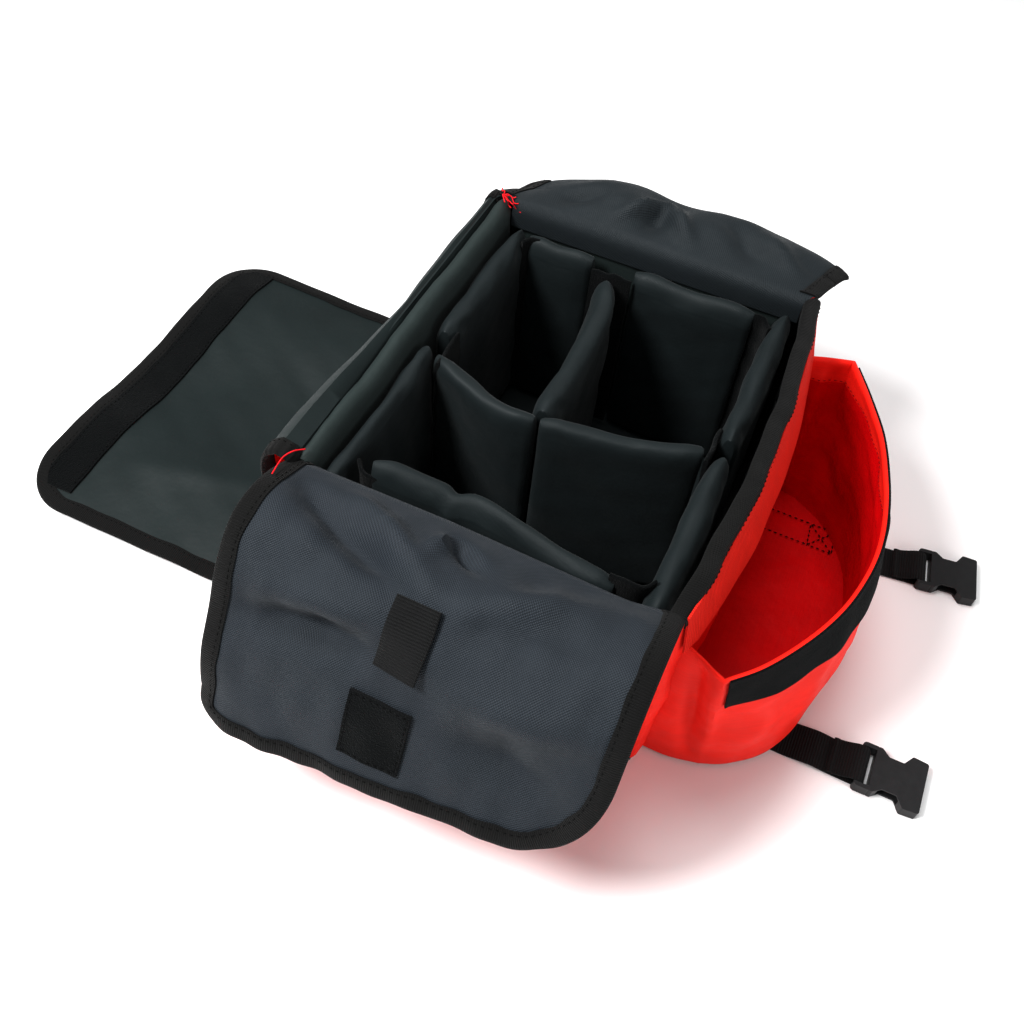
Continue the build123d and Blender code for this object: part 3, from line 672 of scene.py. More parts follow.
# ---------------------------------------------------------------- padded insert
def slab(name, path, thick, low, high, seed, body, node=None, shape=None, pinch=0.85, key="pad"):
    """A padded panel along a line seen from above: rounded top, soft ends, cloth coordinates."""
    length = line_length(path)
    path = even(path, max(8, int(length / 4.2)))
    tangent = unit(np.gradient(path, axis=0))
    side = join(-tangent[:, 1], tangent[:, 0])
    half = thick / 2
    cap = 2.1 * half
    up = np.arange(low, high - cap, 4.6)
    ring = [(-half, z) for z in up]
    for a in np.linspace(0, math.pi, 11):
        x = math.copysign(abs(math.cos(a)) ** 0.8, math.cos(a))
        ring.append((-half * x, high - cap + cap * math.sin(a) ** 0.9))
    ring += [(half, z) for z in up[::-1]]
    ring += [(x, low) for x in np.linspace(half, -half, 4)[1:-1]]
    ring = np.array(ring)
    ring[:, 0] *= 1 + 0.14 * clamp((ring[:, 1] - high + 32) / 20)
    run = np.linspace(0, length, len(path))
    taper = np.clip(np.minimum(run, length - run) / 6, pinch, 1)[:, None] ** 0.6
    a = ring[None, :, 0] * taper
    z = np.repeat(ring[None, :, 1], len(path), 0)
    z = z - (1 - taper) * 5.0 * clamp((z - high + 20) / 20)
    points = np.concatenate([path[:, None] + side[:, None] * a[..., None], z[..., None]], axis=-1)
    cloth = join(run[:, None] + 0 * a, z + ring[None, :, 0])
    index = np.arange(a.size).reshape(a.shape)
    p, q = index[:-1], index[1:]
    faces = join(p, q, np.roll(q, -1, 1), np.roll(p, -1, 1)).reshape(-1, 4).tolist()
    faces += end_cap(index[0], len(up)) + [f[::-1] for f in end_cap(index[-1], len(up))]
    piece = make_mesh(name, points.reshape(-1, 3), faces, cloth.reshape(-1, 2), [key], None, None, 75)
    if node:
        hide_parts(node)
    return {"piece": piece, "body": body, "seed": seed, "shape": shape, "side": side[:, None], "ring": ring,
            "run": run}


def end_cap(loop, sides):
    """Quads across the end of a slab, from one side of its ring to the other."""
    top = len(loop) - 2 - 2 * sides
    reach = sides + top // 2
    left, right = loop[:reach], loop[2 * sides + top - 1 :: -1][:reach]
    faces = [[left[i], left[i + 1], right[i + 1], right[i]] for i in range(reach - 1)]
    if top % 2:
        faces.append([left[-1], loop[reach], right[-1]])
    faces.append([loop[0], right[0], *loop[-2:]])
    return [[int(v) for v in f] for f in faces]


def coords(mesh):
    """A mesh's points, in metres."""
    flat = np.zeros(len(mesh.vertices) * 3, np.float32)
    mesh.vertices.foreach_get("co", flat)
    return flat.reshape(-1, 3).astype(float)


def set_coords(piece, points):
    piece.data.vertices.foreach_set("co", points.astype(np.float32).ravel())


def slab_points(entry):
    """A slab's points in millimetres as a grid, how far along it each lies, and its rows' rise."""
    ring = entry["ring"]
    points = (coords(entry["piece"].data) / MM).reshape(len(entry["run"]), len(ring), 3)
    low, high = ring[:, 1].min(), ring[:, 1].max()
    return points, entry["run"][:, None] + 0 * points[..., 0], clamp((points[..., 2] - low) / (high - low))


def inflate(slabs, cap, frames=18, pressure=4.0):
    """Blows the padded panels up as cloth bags, all at once, and keeps the result as mesh."""
    scene = bpy.context.scene
    for entry in slabs:
        cloth = entry["piece"].modifiers.new("puff", "CLOTH")
        cloth.settings.quality = 4
        cloth.settings.mass = 0.3
        cloth.settings.use_pressure = True
        cloth.settings.uniform_pressure_force = pressure
        cloth.settings.effector_weights.gravity = 0.0
        cloth.settings.bending_stiffness = 4.0
        cloth.collision_settings.use_collision = False
        cloth.point_cache.frame_end = frames
    for number in range(1, frames + 1):
        scene.frame_set(number)
    graph = bpy.context.evaluated_depsgraph_get()
    for entry in slabs:
        piece = entry["piece"]
        blown = coords(piece.evaluated_get(graph).to_mesh())
        rest = coords(piece.data)
        move = blown - rest
        size = np.linalg.norm(move, axis=1, keepdims=True)
        move *= np.minimum(1.0, cap * MM / np.maximum(size, 1e-9))
        piece.modifiers.clear()
        set_coords(piece, rest + move)
    scene.frame_set(1)


def finish_slab(entry):
    """Soft rumples, the panel's own sag, one subdivision, and its body."""
    piece, seed, side, run = entry["piece"], entry["seed"], entry["side"], entry["run"]
    points, s, rise = slab_points(entry)
    z = points[..., 2]
    face = np.sign(entry["ring"][None, :, 0] + 1e-6)
    rumple = 0.7 * ripple(s + 40 * face, z, seed, 70) + 0.35 * ripple(s + 40 * face, z, seed + 1, 26)
    points[..., :2] += side * (rumple * face)[..., None]
    points[..., 2] += 0.5 * ripple(s, 0 * z, seed + 2, 44) * rise**4
    points[..., 2] -= 2.6 * np.exp(-((np.minimum(s, run[-1] - s) / 6) ** 2)) * rise**4
    if entry["shape"]:
        shift, drop = entry["shape"](s / run[-1], rise)
        points[..., :2] += side * shift[..., None]
        points[..., 2] -= drop
    set_coords(piece, points * MM)
    piece.data.update()
    smooth = piece.modifiers.new("smooth", "SUBSURF")
    smooth.levels = smooth.render_levels = 1
    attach(piece, entry["body"])


def near_sag(t, rise):
    """The near end's pad leans into the bag, and its top dips where it has folded."""
    along = [0, 0.08, 0.2, 0.31, 0.42, 0.53, 0.65, 0.78, 0.9, 1]
    lean = np.interp(t, along, [5, 7.5, 9.5, 11, 12, 9.5, 7, 3, 0, 0])
    lean = lean - 4.0 * np.exp(-(((t - 0.33) / 0.02) ** 2))
    dip = np.interp(t, [0, 0.3, 0.5, 0.65, 0.8, 0.9, 1], [-8, -1.5, -2, -1.5, 0.5, 3, 5])
    return lean * rise**1.4, (dip + 2.5 * np.exp(-(((t - 0.33) / 0.03) ** 2))) * rise**3


def half_sag(t, rise):
    """A half of the cross divider: its top dips a little between its ends."""
    return 0.8 * np.sin(2 * math.pi * t) * rise, 2.2 * np.sin(math.pi * t) ** 2 * rise**3


def back_fold(t, rise):
    """The back pad's top has pressed flat near its middle."""
    return 1.2 * np.sin(5 * t) * rise**2, 2.0 * np.exp(-(((t - 0.6) / 0.2) ** 2)) * rise**3


def long_sag(t, rise):
    """The long divider waves a little, and its top sags between its ends."""
    return 2.0 * np.sin(2 * math.pi * t) * rise**2, 4.0 * np.sin(math.pi * clamp(t * 1.1)) * rise**3


def front_lean(t, rise):
    """The front pads' tops wave slightly."""
    return 0.4 * np.sin(3 * math.pi * t) * rise**2, 0.8 * np.abs(np.sin(2 * math.pi * t)) * rise**3


def wall_pad(node, axis, seed, shape=None, flip=False, thick=10.8, push=0.0, longer=(0.0, 0.0)):
    """A wall pad of the insert along its CAD solid; its loose cloth reaches into the corners."""
    low, high = box(node)
    line = np.zeros((2, 2))
    line[:, 1 - axis] = (low[1 - axis] + high[1 - axis]) / 2 + push
    line[:, axis] = (low[axis] - longer[0], high[axis] + longer[1])
    name = node.replace("insert_", "tray_")
    path = line[::-1] if flip else line
    return slab(name, path, thick, low[2] + 1, high[2] - 1, seed, "insert_tray", node, shape)


def velcro_slab(name, line, low, high, body, node=None, thick=2.6, seed=5):
    """A tab of hook-and-loop tape standing on its edge, a little wavy along its top."""
    entry = slab(name, line, thick, low, high, seed, body, node, key="velcro")
    points, s, _ = slab_points(entry)
    rise = clamp((points[..., 2] - low) / (high - low))
    wave = 0.7 * ripple(s, points[..., 2], seed, 22) * rise
    points[..., :2] += entry["side"] * wave[..., None]
    points[..., 2] -= (1.5 + 1.2 * ripple(s, 0 * s, seed + 1, 14)) * rise**6
    set_coords(entry["piece"], points * MM)
    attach(entry["piece"], body)


def insert():
    """The divider insert: wall pads, corner tabs, dividers and the floor pad."""
    entries = [
        wall_pad("insert_left_pad", 1, 101, near_sag, True, 10.8, 0.5, (3, 11)),
        wall_pad("insert_right_pad_front", 1, 111, back_fold),
        wall_pad("insert_right_pad_back", 1, 121, back_fold, longer=(0, 9)),
        wall_pad("insert_front_pad_left", 0, 131, front_lean, longer=(6, 0)),
        wall_pad("insert_front_pad_right", 0, 141, front_lean, longer=(0, 6)),
        wall_pad("insert_back_pad_left", 0, 151, None, False, 7.0, 2.6, (12, 0)),
        wall_pad("insert_back_pad_right", 0, 161),
    ]
    low, high = box("cross_divider_back")
    floor, top = low[2] + 0.5, high[2] + 1.5
    for name, node, path, thick, seed, body, shape in (
        ("cross_back", "cross_divider_back", [(-31.8, 9.4), (-30.5, 27), (-24.5, 50), (-14, 77), (-9.5, 85)],
         11.0, 171, "cross_panel", half_sag),
        ("cross_front", "cross_divider_front", [(-31.4, 8.6), (-23.5, -30), (-16, -58), (-7, -87)],
         11.0, 176, "cross_panel", half_sag),
        ("long_pad", "long_divider", [(-26.0, 8.8), (20, 9.6), (60, 12.4), (106, 17.8)],
         13.0, 181, "long_panel", long_sag),
    ):
        entries.append(slab(name, smooth_line(path, 50), thick, floor, top, seed, body, node, shape, 0.9))
    inflate(entries, 1.5)
    for entry in entries:
        finish_slab(entry)
    low, high = box("insert_tabs")
    inner_x = 118
    corners = [
        ("near_front", [(-inner_x + 1, -69), (-inner_x, -84), (-inner_x + 7, -92)], 4.5, "insert_tabs"),
        ("near_back", [(-inner_x + 3, 61), (-inner_x + 1, 76), (-inner_x + 8, 83)], 4.5, None),
        ("far_front", [(inner_x, -79), (inner_x - 1, -86), (inner_x - 8, -91)], 2, None),
        ("far_back", [(inner_x, 71), (inner_x - 1, 78), (inner_x - 8, 83)], 2, None),
    ]
    for k, (name, line, taller, node) in enumerate(corners):
        line = smooth_line(line, 20)
        velcro_slab(f"tab_{name}", line, low[2], high[2] + taller, "insert_tray", node, 2.4, 60 + k)
    low, high = box("cross_divider_tabs")
    for end, x0, x1, y, node, seed in (("front", -16, 13, low[1] + 1.2, "cross_divider_tabs", 71),
                                       ("back", -19, 11, high[1] - 1.2, None, 73)):
        line = [(x0, y), (x1, y)]
        velcro_slab(f"cross_tab_{end}", line, low[2], high[2] + 5, "cross_panel", node, seed=seed)
    low, high = box("long_divider_tab")
    line = [(low[0] + 1, low[1]), (low[0] + 1, high[1])]
    velcro_slab("long_tab", line, low[2], high[2] + 5, "long_panel", "long_divider_tab", seed=75)
    low, high = box("insert_floor")
    x, y = grid(np.linspace(low[0] + 1, high[0] - 1, 60), np.linspace(low[1] + 1, high[1] - 1, 50))
    base = join(x, y, (low[2] + high[2]) / 2 - 0.4 + 0.7 * ripple(x, y, 81, 60))
    pad = sheet_mesh("tray_floor", base, base[..., :2], high[2] - low[2] - 2, "pad", "pad",
                     "insert_tray", normals=np.broadcast_to((0, 0, 1.0), base.shape))
    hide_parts("insert_floor")


# ---------------------------------------------------------------- flaps and lid
class Fabric:
    """A sheet laid out flat, s from its root and w across it, and the curve it follows in space."""

    def __init__(self, profile, plane, low, high, corners, fold, skew, inside=0.0, slope=0.0):
        self.line = smooth_line(profile, 500)
        self.run = np.linspace(-inside, line_length(self.line) - inside, len(self.line))
        self.plane, self.low, self.high, self.corners = plane, low, high, corners
        self.fold, self.skew, self.inside, self.slope = fold, skew, inside, slope
        self.total = self.run[-1]
        self.turn = 1.0
        middle = self.normal(np.array([self.total * 0.6]), np.array([0.0]))
        self.turn = 1.0 if middle[0, 2] > 0 else -1.0

    def flat_point(self, s, w):
        over = np.maximum(s - self.total, 0)
        end = unit((self.line[-1] - self.line[-6])[None])[0]
        a = np.interp(s, self.run, self.line[:, 0]) + over * end[0]
        z = np.interp(s, self.run, self.line[:, 1]) + over * end[1]
        shifted = w + self.skew(s, w)
        pair = (a, shifted, z) if self.plane == "xz" else (shifted, a, z)
        return join(*pair)

    def across(self, place, s, w, step):
        """Direction off the cloth, from how a place on it moves with s and w."""
        ds = place(s + step, w) - place(s - step, w)
        dw = place(s, w + step) - place(s, w - step)
        return unit(np.cross(ds, dw)) * self.turn

    def point(self, s, w):
        return self.flat_point(s, w) + self.across(self.flat_point, s, w, 1.0) * self.fold(s, w)[..., None]

    def normal(self, s, w):
        return self.across(self.point, s, w, 1.5)

    def length(self, w):
        """How far the sheet reaches at each place across it, with its round corners."""
        reach = self.total - self.slope * clamp((70 - w) / 160)
        for edge, (rw, rs) in ((self.low, self.corners[0]), (self.high, self.corners[1])):
            into = clamp(1 - np.abs(w - edge) / rw)
            reach = reach - rs * (1 - np.sqrt(clamp(1 - into**2)))
        return reach

    def panel(self, name, s0, s1, lining, step=2.6):
        """The cloth between two distances from the root; s1 of None runs to the free edge."""
        count = int((self.high - self.low) / step)
        angle = np.linspace(-math.pi / 2, math.pi / 2, count)
        share = 0.5 + 0.5 * (0.55 * np.sin(angle) + 0.45 * angle / (math.pi / 2))
        w = self.low + (self.high - self.low) * share
        end = self.length(w) - 0.8 if s1 is None else np.full(count, float(s1))
        t = np.linspace(0, 1, int(((s1 or self.total) - s0) / step) + 2)
        s = s0 + (end[None] - s0) * t[:, None]
        w = np.repeat(w[None], len(t), 0)
        cloth = join(s, w)
        return sheet_mesh(name, self.point(s, w), cloth, CLOTH, lining, "red", normals=self.normal(s, w))

    def declare(self, cloth, s0, s1, held, rests_on, with_pieces=()):
        """Does nothing with the cloth: the flat size it was cut to is not passed on. s1, None for the free edge, is
        not used.
        """

    def edge_path(self, s0):
        """The free edge in cloth coordinates: down one side, along the end and back."""
        share = 0.5 - 0.5 * np.sin(np.linspace(-math.pi / 2, math.pi / 2, 240))
        w = self.low + (self.high - self.low) * share
        ends = join(self.length(w), w)
        path = np.vstack([[(s0, self.high)], ends, [(s0, self.low)]])
        return even(path, int(line_length(path) / 2.4))

    def side_paths(self, s0, s1, count):
        """Both side edges in cloth coordinates."""
        steps = np.linspace(s0, s1, count)
        return [join(steps, w) for w in (self.low, self.high)]

    def inward(self, path):
        """Directions from a path along the edge into the cloth."""
        tangent = unit(np.gradient(path, axis=0))
        inward = join(-tangent[:, 1], tangent[:, 0])
        middle = np.array([self.total * 0.5, (self.low + self.high) / 2])
        return -inward if ((middle - path) * inward).sum() < 0 else inward

    def trim(self, stem, end, path, seed):
        """Binding folded over the edge along a path in cloth coordinates, and its stitches."""
        inward = self.inward(path)
        h = CLOTH / 2 + 0.75
        section = np.array([(TAPE, h * 0.8), (TAPE - 1, h), (TAPE * 0.6, h + 0.15), (2.0, h), (0.2, h * 0.75),
                            (-0.7, 0), (0.2, -h * 0.75), (2.0, -h), (TAPE * 0.6, -h - 0.1), (TAPE - 1, -h),
                            (TAPE, -h * 0.8)])
        run = np.linspace(0, line_length(path), len(path))
        wave = 0.45 * ripple(run, 0 * run, seed, 30)[:, None] * (section[None, :, 0] > 5)
        inset = section[None, :, 0] + wave
        s = path[:, :1] + inward[:, :1] * inset
        w = path[:, 1:] + inward[:, 1:] * inset
        points = self.point(s, w) + self.normal(s, w) * section[None, :, 1:]
        cloth = join(run[:, None], section[None].sum(axis=-1))
        normals = grid_normals(points)
        if (normals[:, 1] * self.normal(s[:, 1], w[:, 1])).sum() <= 0:
            normals = -normals
        tape = sheet_mesh(stem + end, points, cloth, 0.7, "binding", "binding", normals=normals)
        s, w = (path + inward * 8.0).T
        return [tape, self.sew(f"{stem}_stitches{end}", s, w, "black_binding", CLOTH / 2 + 1.15)]

    def sew(self, name, s, w, slot, lift):
        """Stitches along a path in cloth coordinates."""
        up = self.normal(s, w)
        return stitches(name, self.point(s, w) + up * lift, up)

    def velcro(self, name, s, w, lift, thick):
        """A patch of hook-and-loop tape on the lining."""
        up = self.normal(s, w)
        return sheet_mesh(name, self.point(s, w) + up * lift, join(s, w), thick, "velcro", "velcro", normals=up)


def bend(pieces, first, second, start, end):
    """Bakes each piece's placement into its mesh; the pieces are not made to turn between the two bodies."""
    for piece in pieces:
        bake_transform(piece)


def flap_pieces(side, fabric, split, tab_w, lining, hinge, crest):
    """One end flap in two lengths: from the rim over the hinge, and from there to its free edge."""
    stem = f"{side}_flap"
    root = fabric.panel(f"{stem}_upper", -fabric.inside, split, lining)
    end = fabric.panel(f"{stem}_lower", split, None, lining)
    upper = [root]
    for k, path in enumerate(fabric.side_paths(0, split, int(split / SEAM_STEP) + 2)):
        upper += fabric.trim(f"{stem}_tape", f"_{k}", path, 7 + k)
    edge, sewn = fabric.trim(f"{stem}_edge", "", fabric.edge_path(split), 9)
    s = np.linspace(60, 97, 22)
    lift = 2.1 + 2.6 * clamp((s - 84) / 13) ** 1.5
    middle = np.full_like(s, tab_w)
    up = fabric.normal(s, middle)
    across = fabric.point(s, middle + 5) - fabric.point(s, middle - 5)
    tab = strip_mesh(f"{stem}_pull", fabric.point(s, middle) + up * lift[:, None], across, up, 1.8)
    s, w = grid(np.linspace(118, 157, 22), np.linspace(tab_w - 13, tab_w + 22, 20))
    patch = fabric.velcro(f"{stem}_velcro", s, w, 1.75, 1.9)
    near, far = tab_w - 11.5, tab_w + 20.5
    s, w = even([(119.5, near), (155.5, near), (155.5, far), (119.5, far), (119.5, near)], 90).T
    lower = [end, edge, sewn, tab, patch, fabric.sew(f"{stem}_velcro_stitches", s, w, "hook_and_loop", 2.8)]
    for piece, node in ((root, "root"), (upper[1], "root_binding"), (end, "end"), (edge, "end_binding"),
                        (tab, "tab"), (patch, "patch")):
        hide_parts(f"{stem}_{node}")
    fabric.declare(root, -fabric.inside, split, "folded", ["bag_shell"])
    fabric.declare(end, split, None, "hung", [root], [edge, tab, patch])
    bend(upper, "bag_body", f"{stem}_near", *hinge)
    bend(lower, f"{stem}_near", f"{stem}_far", *crest)


def left_fold(s, w):
    """Drape of the near flap: a star of creases from the rim, soft dents and a curled corner."""
    soft = 1.2 * ripple(s, w, 201, 75) + 0.5 * ripple(s, w, 202, 30)
    star = creases(s, w, [
        ((22, 88), (62, 16), 9, -5.0), ((10, 66), (50, 6), 6, 2.4), ((14, 10), (31, -12), 4.5, -3.4),
        ((14, 10), (36, 15), 4, 2.2), ((101, 88), (95, 22), 10, -4.5), ((82, 80), (78, 26), 9, 2.2),
        ((98, -22), (90, -92), 13, 3.2), ((122, -30), (128, -86), 12, -2.8), ((66, -24), (44, -92), 14, -2.6),
        ((58, -12), (20, -70), 8, 1.8),
    ])
    curl = 7.0 * clamp((s - 128) / 34) ** 2 * clamp((w - 70) / 42) ** 2
    sag = 3.0 * clamp((20 - w) / 100) * np.exp(-((s / 24) ** 2)) * np.clip((w + 113) / 25, 0.2, 1)
    sides = np.clip((np.minimum(w + 113, 112 - w) + 6) / 22, 0.25, 1)
    return -sag + (1.35 * soft + 2.5 * star) * clamp(s / 18) * sides - curl


def tuck(s, w):
    """Inside the rim the cloth is drawn in between the front and back walls."""
    inside = clamp((2 - s) / 7)
    return inside * (-3.5 - 0.09 * w)


def right_fold(s, w):
    """Drape of the far flap: a star of creases from its middle, and both ends drooping."""
    soft = 1.2 * ripple(s, w, 211, 70) + 0.5 * ripple(s, w, 212, 28)
    star = creases(s, w, [
        ((38, 13), (5, 36), 4.5, 2.6), ((38, 13), (2, -26), 4.5, 2.8), ((36, 12), (2, 8), 9, -3.4),
        ((30, 50), (4, 78), 8, -2.6), ((40, -30), (8, -66), 7, -2.2), ((34, -58), (10, -96), 6, 1.8),
    ])
    droop = 22.0 * clamp((w - 58) / 54) ** 1.4 + 13.0 * clamp((-w - 64) / 48) ** 1.5
    rise = 3.5 * np.exp(-(((w - 45) / 25) ** 2))
    return (1.4 * soft + 2.6 * star) * clamp(s / 18) + (rise - droop) * clamp(s / 22)


def lean(s, w):
    """The far flap slips towards the front over its hinge and back again as it hangs."""
    return -13.0 * clamp(s / 45) + 26.0 * clamp((s - 50) / 45) + tuck(s, w)


LEFT_PROFILE = [(-127.3, 141), (-127.6, 152), (-129.8, 158.5), (-135, 162), (-149, 168.8), (-166, 173.5),
                (-181, 172.5), (-191, 166.5), (-199.5, 158), (-207, 147), (-214, 133), (-226, 112), (-240, 85),
                (-248, 65)]
RIGHT_PROFILE = [(127.3, 148), (127.6, 160), (130.5, 165.6), (136, 167.6), (147, 171.4), (160, 174.0),
                 (173, 172.5), (183, 166), (190, 155), (195, 141), (199, 122), (203, 98), (206, 72)]


def flaps():
    """Both end flaps, arched out over the rim and hanging free."""
    left = Fabric(LEFT_PROFILE, "xz", -113.0, 112.0, ((46, 59), (15, 13)), left_fold, tuck, 20.0, 13.0)
    hinge, crest = pivot("left_flap_hinge")[0], pivot("left_flap_fold")[0]
    flap_pieces("left", left, 26.0, 4.5, "flap", ((hinge + 3, 0, 165), (hinge - 9, 0, 171)),
                ((crest + 10, 0, 174), (crest - 8, 0, 160)))
    right = Fabric(RIGHT_PROFILE, "xz", -112.0, 112.0, ((46, 50), (30, 30)), right_fold, lean, 21.0)
    hinge, crest = pivot("right_flap_hinge")[0], pivot("right_flap_fold")[0]
    # The far flap takes the darker copy of the flap nylon: painted shade.
    flap_pieces("right", right, 24.0, -8.0, "flap_painted_shade", ((hinge - 3, 0, 165), (hinge + 9, 0, 171)),
                ((crest - 8, 0, 173), (crest + 8, 0, 160)))


LID_PROFILE = [(110.5, 157), (112, 161.5), (114.6, 163.6), (117.4, 161), (119.2, 150), (119, 110), (118.5, 60),
               (118, 28), (120, 14), (128, 10.6), (145, 10.4), (200, 10.4), (273, 10.4), (320, 10.4), (347, 10.2)]
LID_TOP = 8.9
BAR_LOOP = 3.4


def lid_fold(s, w):
    """The lid lies over its straps and sinks to the ground between and beside them."""
    lying = clamp((s - 175) / 30)
    over = np.maximum(*(np.exp(-(((w - x) / 46) ** 2)) for x in STRAP_X.values()))
    sink = 6.2 * (1 - over) * lying
    soft = (0.9 * ripple(s, w, 221, 95) + 0.4 * ripple(s, w, 222, 38)) * (0.25 + 0.75 * lying)
    folds = creases(s, w, [((225, -60), (330, -85), 9, 1.6), ((215, 10), (300, 60), 12, -1.8),
                           ((330, 20), (380, 90), 9, 1.5)])
    hang = (1 - lying) * (0.8 * ripple(s, w, 223, 60)) * clamp(s / 20) * clamp((170 - s) / 20)
    belly = 9.0 * clamp((10 - w) / 110) * np.sin(math.pi * clamp(s / 70) ** 0.7)
    return -sink + (soft + folds) * lying + hang + belly


def lid_spread(s, w):
    """The lid's free end has slid a little to the far side."""
    return clamp((s - 170) / 220) * (4.0 + 0.03 * w)


def lid():
    """The lid as one cloth in three lengths, its binding, hook strip and straps."""
    cloth = Fabric(LID_PROFILE, "yz", -138.0, 138.0, ((38, 38), (38, 38)), lid_fold, lid_spread)
    fold = pivot("lid_fold_front")[1]
    parts = (
        ("lid_hang", "lid_back", 0.0, 80.0, "hung", ("bag_body", "lid_hanging"), ((0, 111, 168), (0, 118, 156))),
        ("lid_lie", "lid_top", 80.0, 240.0, "laid", ("lid_hanging", "lid_middle"), ((0, 117, 24), (0, 130, 10))),
        ("lid_free", "lid_front", 240.0, None, "laid", ("lid_middle", "lid_end"),
         ((0, fold - 9, 10), (0, fold + 9, 10))),
    )
    made = []
    for k, (name, node, s0, s1, held, _, _) in enumerate(parts):
        pieces = [cloth.panel(name, s0, s1, "lid", step=3.0)]
        paths = [cloth.edge_path(s0)] if s1 is None else cloth.side_paths(s0, s1, int((s1 - s0) / SEAM_STEP))
        for j, path in enumerate(paths):
            pieces += cloth.trim(f"{name}_tape", f"_{j}", path, 30 + 3 * k + j)
        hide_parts(f"{node}_panel")
        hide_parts(f"{node}_binding")
        cloth.declare(pieces[0], s0, s1, held, [made[-1][0]] if made else ["bag_shell"])
        made.append(pieces)
    free = made[2]
    root = cloth.total - 37
    s, w = grid(np.linspace(root, cloth.total - 10.5, 12), np.linspace(-124, 128, 120))
    strip = cloth.velcro("lid_velcro", np.minimum(s, cloth.length(w) - 9), w, 1.6, 1.6)
    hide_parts("lid_hook_strip")
    free.append(strip)
    w = np.linspace(-118, 122, 160)
    for name, inset in (("a", 2.0), ("b", 24.5)):
        s = np.full_like(w, root + inset)
        free.append(cloth.sew(f"lid_velcro_stitches_{name}", s, w, "hook_and_loop", 2.5))
    for (end, x), side in zip(STRAP_X.items(), ("left", "right")):
        _, y, z = pivot(f"{side}_plug_pivot")
        turn = [(y + BAR_LOOP * math.sin(a), z + BAR_LOOP * math.cos(a)) for a in np.linspace(0, math.pi, 13)]
        flat = [(reach, LID_TOP) for reach in np.linspace(120, y - 4, 60)]
        back = smooth_line([turn[-1], (y - 5, 2.6), (y - 10, 5.2), (y - 14, 7.1), (y - 17, 7.2)], 16)[1:]
        line = np.vstack([flat, turn, back])
        centre = join(np.full(len(line), x), line[:, 0], line[:, 1])
        up = np.cross((1.0, 0, 0), unit(np.gradient(centre, axis=0)))
        free.append(strip_mesh(f"lid_strap_{end}", centre, (1, 0, 0), up, 1.5))
        if end == "near":
            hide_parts("lid_top_straps", "lid_front_straps")
    for pieces, (*_, bodies, ends) in zip(made, parts):
        bend(pieces, *bodies, *ends)


# ---------------------------------------------------------------- straps and buckles
def straps():
    """The webbing from under the pocket to each socket, looped round the socket's bar."""
    for side in ("left", "right"):
        bar, hinge = pivot(f"{side}_socket_pivot"), pivot(f"{side}_strap_swing")
        out = unit((bar - hinge)[None] * np.array([1, 1, 0]))[0]
        reach, z = float(np.hypot(*(bar - hinge)[:2])), bar[2]
        half_turn = np.linspace(0, math.pi, 13)
        turn = [(reach + BAR_LOOP * math.sin(a), z - BAR_LOOP * math.cos(a)) for a in half_turn]
        tail = [(-72, 0.85), (-40, 0.85), (-10, 0.85), (0, 0.9), (8, 2.0), (15, 2.6), (24, 1.5), (reach - 12, 1.2),
                (reach - 4, 0.9)]
        back = [turn[-1], (reach - 4, z + 3.1), (reach - 9, z + 0.9), (reach - 14, 3.6), (reach - 17, 3.9),
                (reach - 18.5, 3.2)]
        line = np.vstack([smooth_line(tail, 90), turn, smooth_line(back, 24)[1:]])
        centre = hinge * np.array([1, 1, 0]) + out * line[:, :1] + np.array([0, 0, 1.0]) * line[:, 1:]
        inside = line[:, 0] < 0
        centre[inside, 0] = hinge[0]
        centre[inside, 1] = hinge[1] - line[inside, 0]
        across = np.array([-out[1], out[0], 0])
        up = -np.cross(across, unit(np.gradient(centre, axis=0)))
        strap = strip_mesh(f"{side}_pocket_strap", centre, across, up, 1.5)
        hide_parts(f"{side}_strap")
        if side == "left":
            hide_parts("base_straps")
        bend([strap], "bag_body", f"{side}_webbing", hinge - out * 3, hinge + out * 6)
    for node in ("left_socket", "right_socket", "left_plug", "right_plug"):
        paint(node, "plastic")
    paint("base_board", "board")


def paint(node, key):
    """A CAD node keeps its shape and takes a procedural finish."""
    piece = frame["nodes"][node]
    piece.data.materials.clear()
    piece.data.materials.append(MATS[key])


def tube(name, line, radius, sides=6):
    """Red thread as a thin round tube along a line."""
    line = smooth_line(line, 60)
    tangent = unit(np.gradient(line, axis=0))
    side = unit(np.cross(tangent, np.array([0.3, 0.2, 1.0])))
    other = np.cross(tangent, side)
    angle = np.linspace(0, 2 * math.pi, sides, endpoint=False)[None, :, None]
    points = line[:, None] + (side[:, None] * np.cos(angle) + other[:, None] * np.sin(angle)) * radius
    faces = tube_faces(np.arange(len(line) * sides).reshape(len(line), sides))
    points = points.reshape(-1, 3)
    make_mesh(name, points, faces, points, ["red_thread"], None, "bag_body", 180)


def thread_tails():
    """Loose ends of red thread at the corners of the rim."""
    near = [(-128, 105, 168), (-134, 108, 171), (-140, 110, 172), (-147, 109, 174), (-156, 107, 176)]
    tube("thread_near_back", near, 0.45)
    root = np.array([127.0, 106.0, 168.5])
    ends = [(-3, -9, -1), (2, -11, -3), (-1, -7, -6), (4, -8, 0), (-6, -4, 1), (0, -14, -8), (6, 3, 2)]
    for k, end in enumerate(np.array(ends, float)):
        bent = np.array([math.sin(2.1 * k), math.cos(1.7 * k), 1.0]) * 1.8
        line = smooth_line([root, root + end * 0.4 + bent, root + end * 0.75 - bent * 0.4, root + end], 9)
        tube(f"thread_far_back_{k}", line, 0.42)


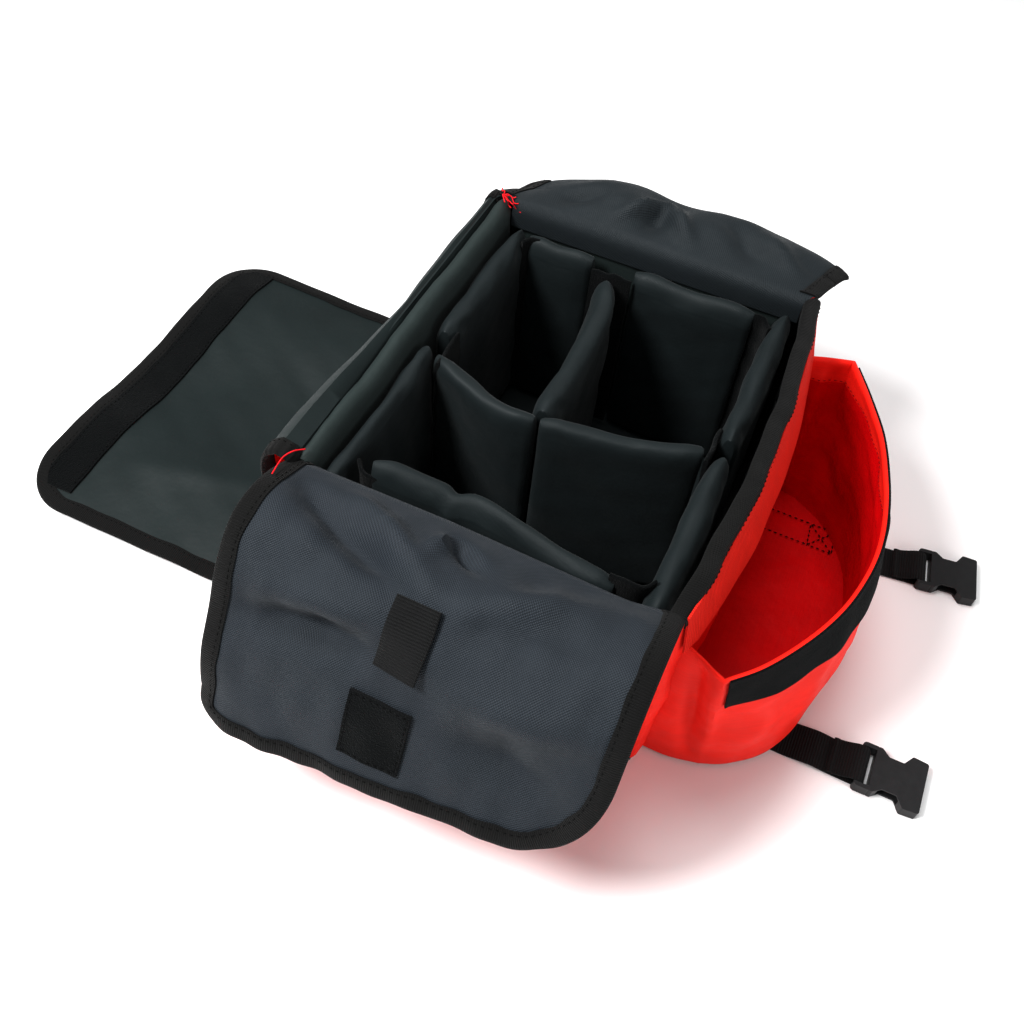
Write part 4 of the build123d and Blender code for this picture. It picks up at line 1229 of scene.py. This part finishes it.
# ---------------------------------------------------------------- stage, light and camera
def stage():
    """A plain pale floor, a soft bright surround and three soft lights."""
    mesh = bpy.data.meshes.new("stage_floor")
    size = 6.0
    corners = [(-size, -size, 0), (size, -size, 0), (size, size, 0), (-size, size, 0)]
    mesh.from_pydata(corners, [], [(0, 1, 2, 3)])
    shade = Shade("stage_paper", Specular_IOR_Level=0.2, Roughness=0.8)
    tint = shade.mix(shade.noise(shade.place(False), 900.0), rgba((0.86,) * 3), rgba((0.9,) * 3))
    shade.feed(shade.shader.inputs["Base Color"], tint)
    mesh.materials.append(shade.material)
    link("stage_floor", mesh)
    scene = bpy.context.scene
    scene.world = bpy.data.worlds.new("surround")
    scene.world.use_nodes = True
    surround = scene.world.node_tree.nodes["Background"].inputs
    surround[0].default_value = (1.0, 1.0, 1.0, 1.0)
    surround[1].default_value = 0.36
    scene.view_settings.view_transform = "Standard"
    scene.view_settings.gamma = 0.8
    scene.view_settings.exposure = 0.3
    for name, spot, size, power in (
        ("key", (-0.75, 0.8, 1.45), 0.55, 33.0),
        ("fill", (-0.5, -1.7, 0.55), 1.0, 9.0),
        ("top", (0.25, 0.2, 2.0), 0.8, 14.0),
    ):
        light = bpy.data.lights.new(name, "AREA")
        light.shape = "DISK"
        light.size = size
        light.energy = power
        lamp = link(name, light)
        lamp.location = spot
        aim = Vector((0.0, 0.0, 0.1)) - Vector(spot)
        lamp.rotation_euler = aim.to_track_quat("-Z", "Y").to_euler()


def camera():
    """The viewpoint: above the near end, looking down at the open bag."""
    azimuth, elevation, roll = (math.radians(v) for v in (-70.7, 51.8, 6.53))
    level = math.cos(elevation)
    back = Vector((math.sin(azimuth) * level, -math.cos(azimuth) * level, math.sin(elevation)))
    beside = Vector((math.cos(azimuth), math.sin(azimuth), 0))
    above = back.cross(beside)
    right = beside * math.cos(roll) + above * math.sin(roll)
    up = above * math.cos(roll) - beside * math.sin(roll)
    data = bpy.data.cameras.new("view")
    data.sensor_width = 36.0
    data.lens = 1068.02 / 1024 * 36.0
    data.clip_start = 0.01
    view = link("view", data)
    view.matrix_world = Matrix((
        (right.x, up.x, back.x, -0.43903),
        (right.y, up.y, back.y, -0.12424),
        (right.z, up.z, back.z, 0.60367),
        (0, 0, 0, 1),
    ))
    bpy.context.scene.camera = view


shell()
front_rim()
padding_roll("back_roll", "back_foam", 1, 11, 0.3, 9.0, 2.0)
padding_roll("near_roll", "left_foam", 0, 12, 0.0, 3.0, 9.0, 11.0)
padding_roll("far_roll", "right_foam", 0, 13, 0.05, 3.0, 9.0, 4.0)
padding_roll("front_roll", "front_foam", 1, 14, 0.0, 3.0, 9.0, 5.0, True)
pocket()
insert()
flaps()
lid()
straps()
thread_tails()
stage()
camera()
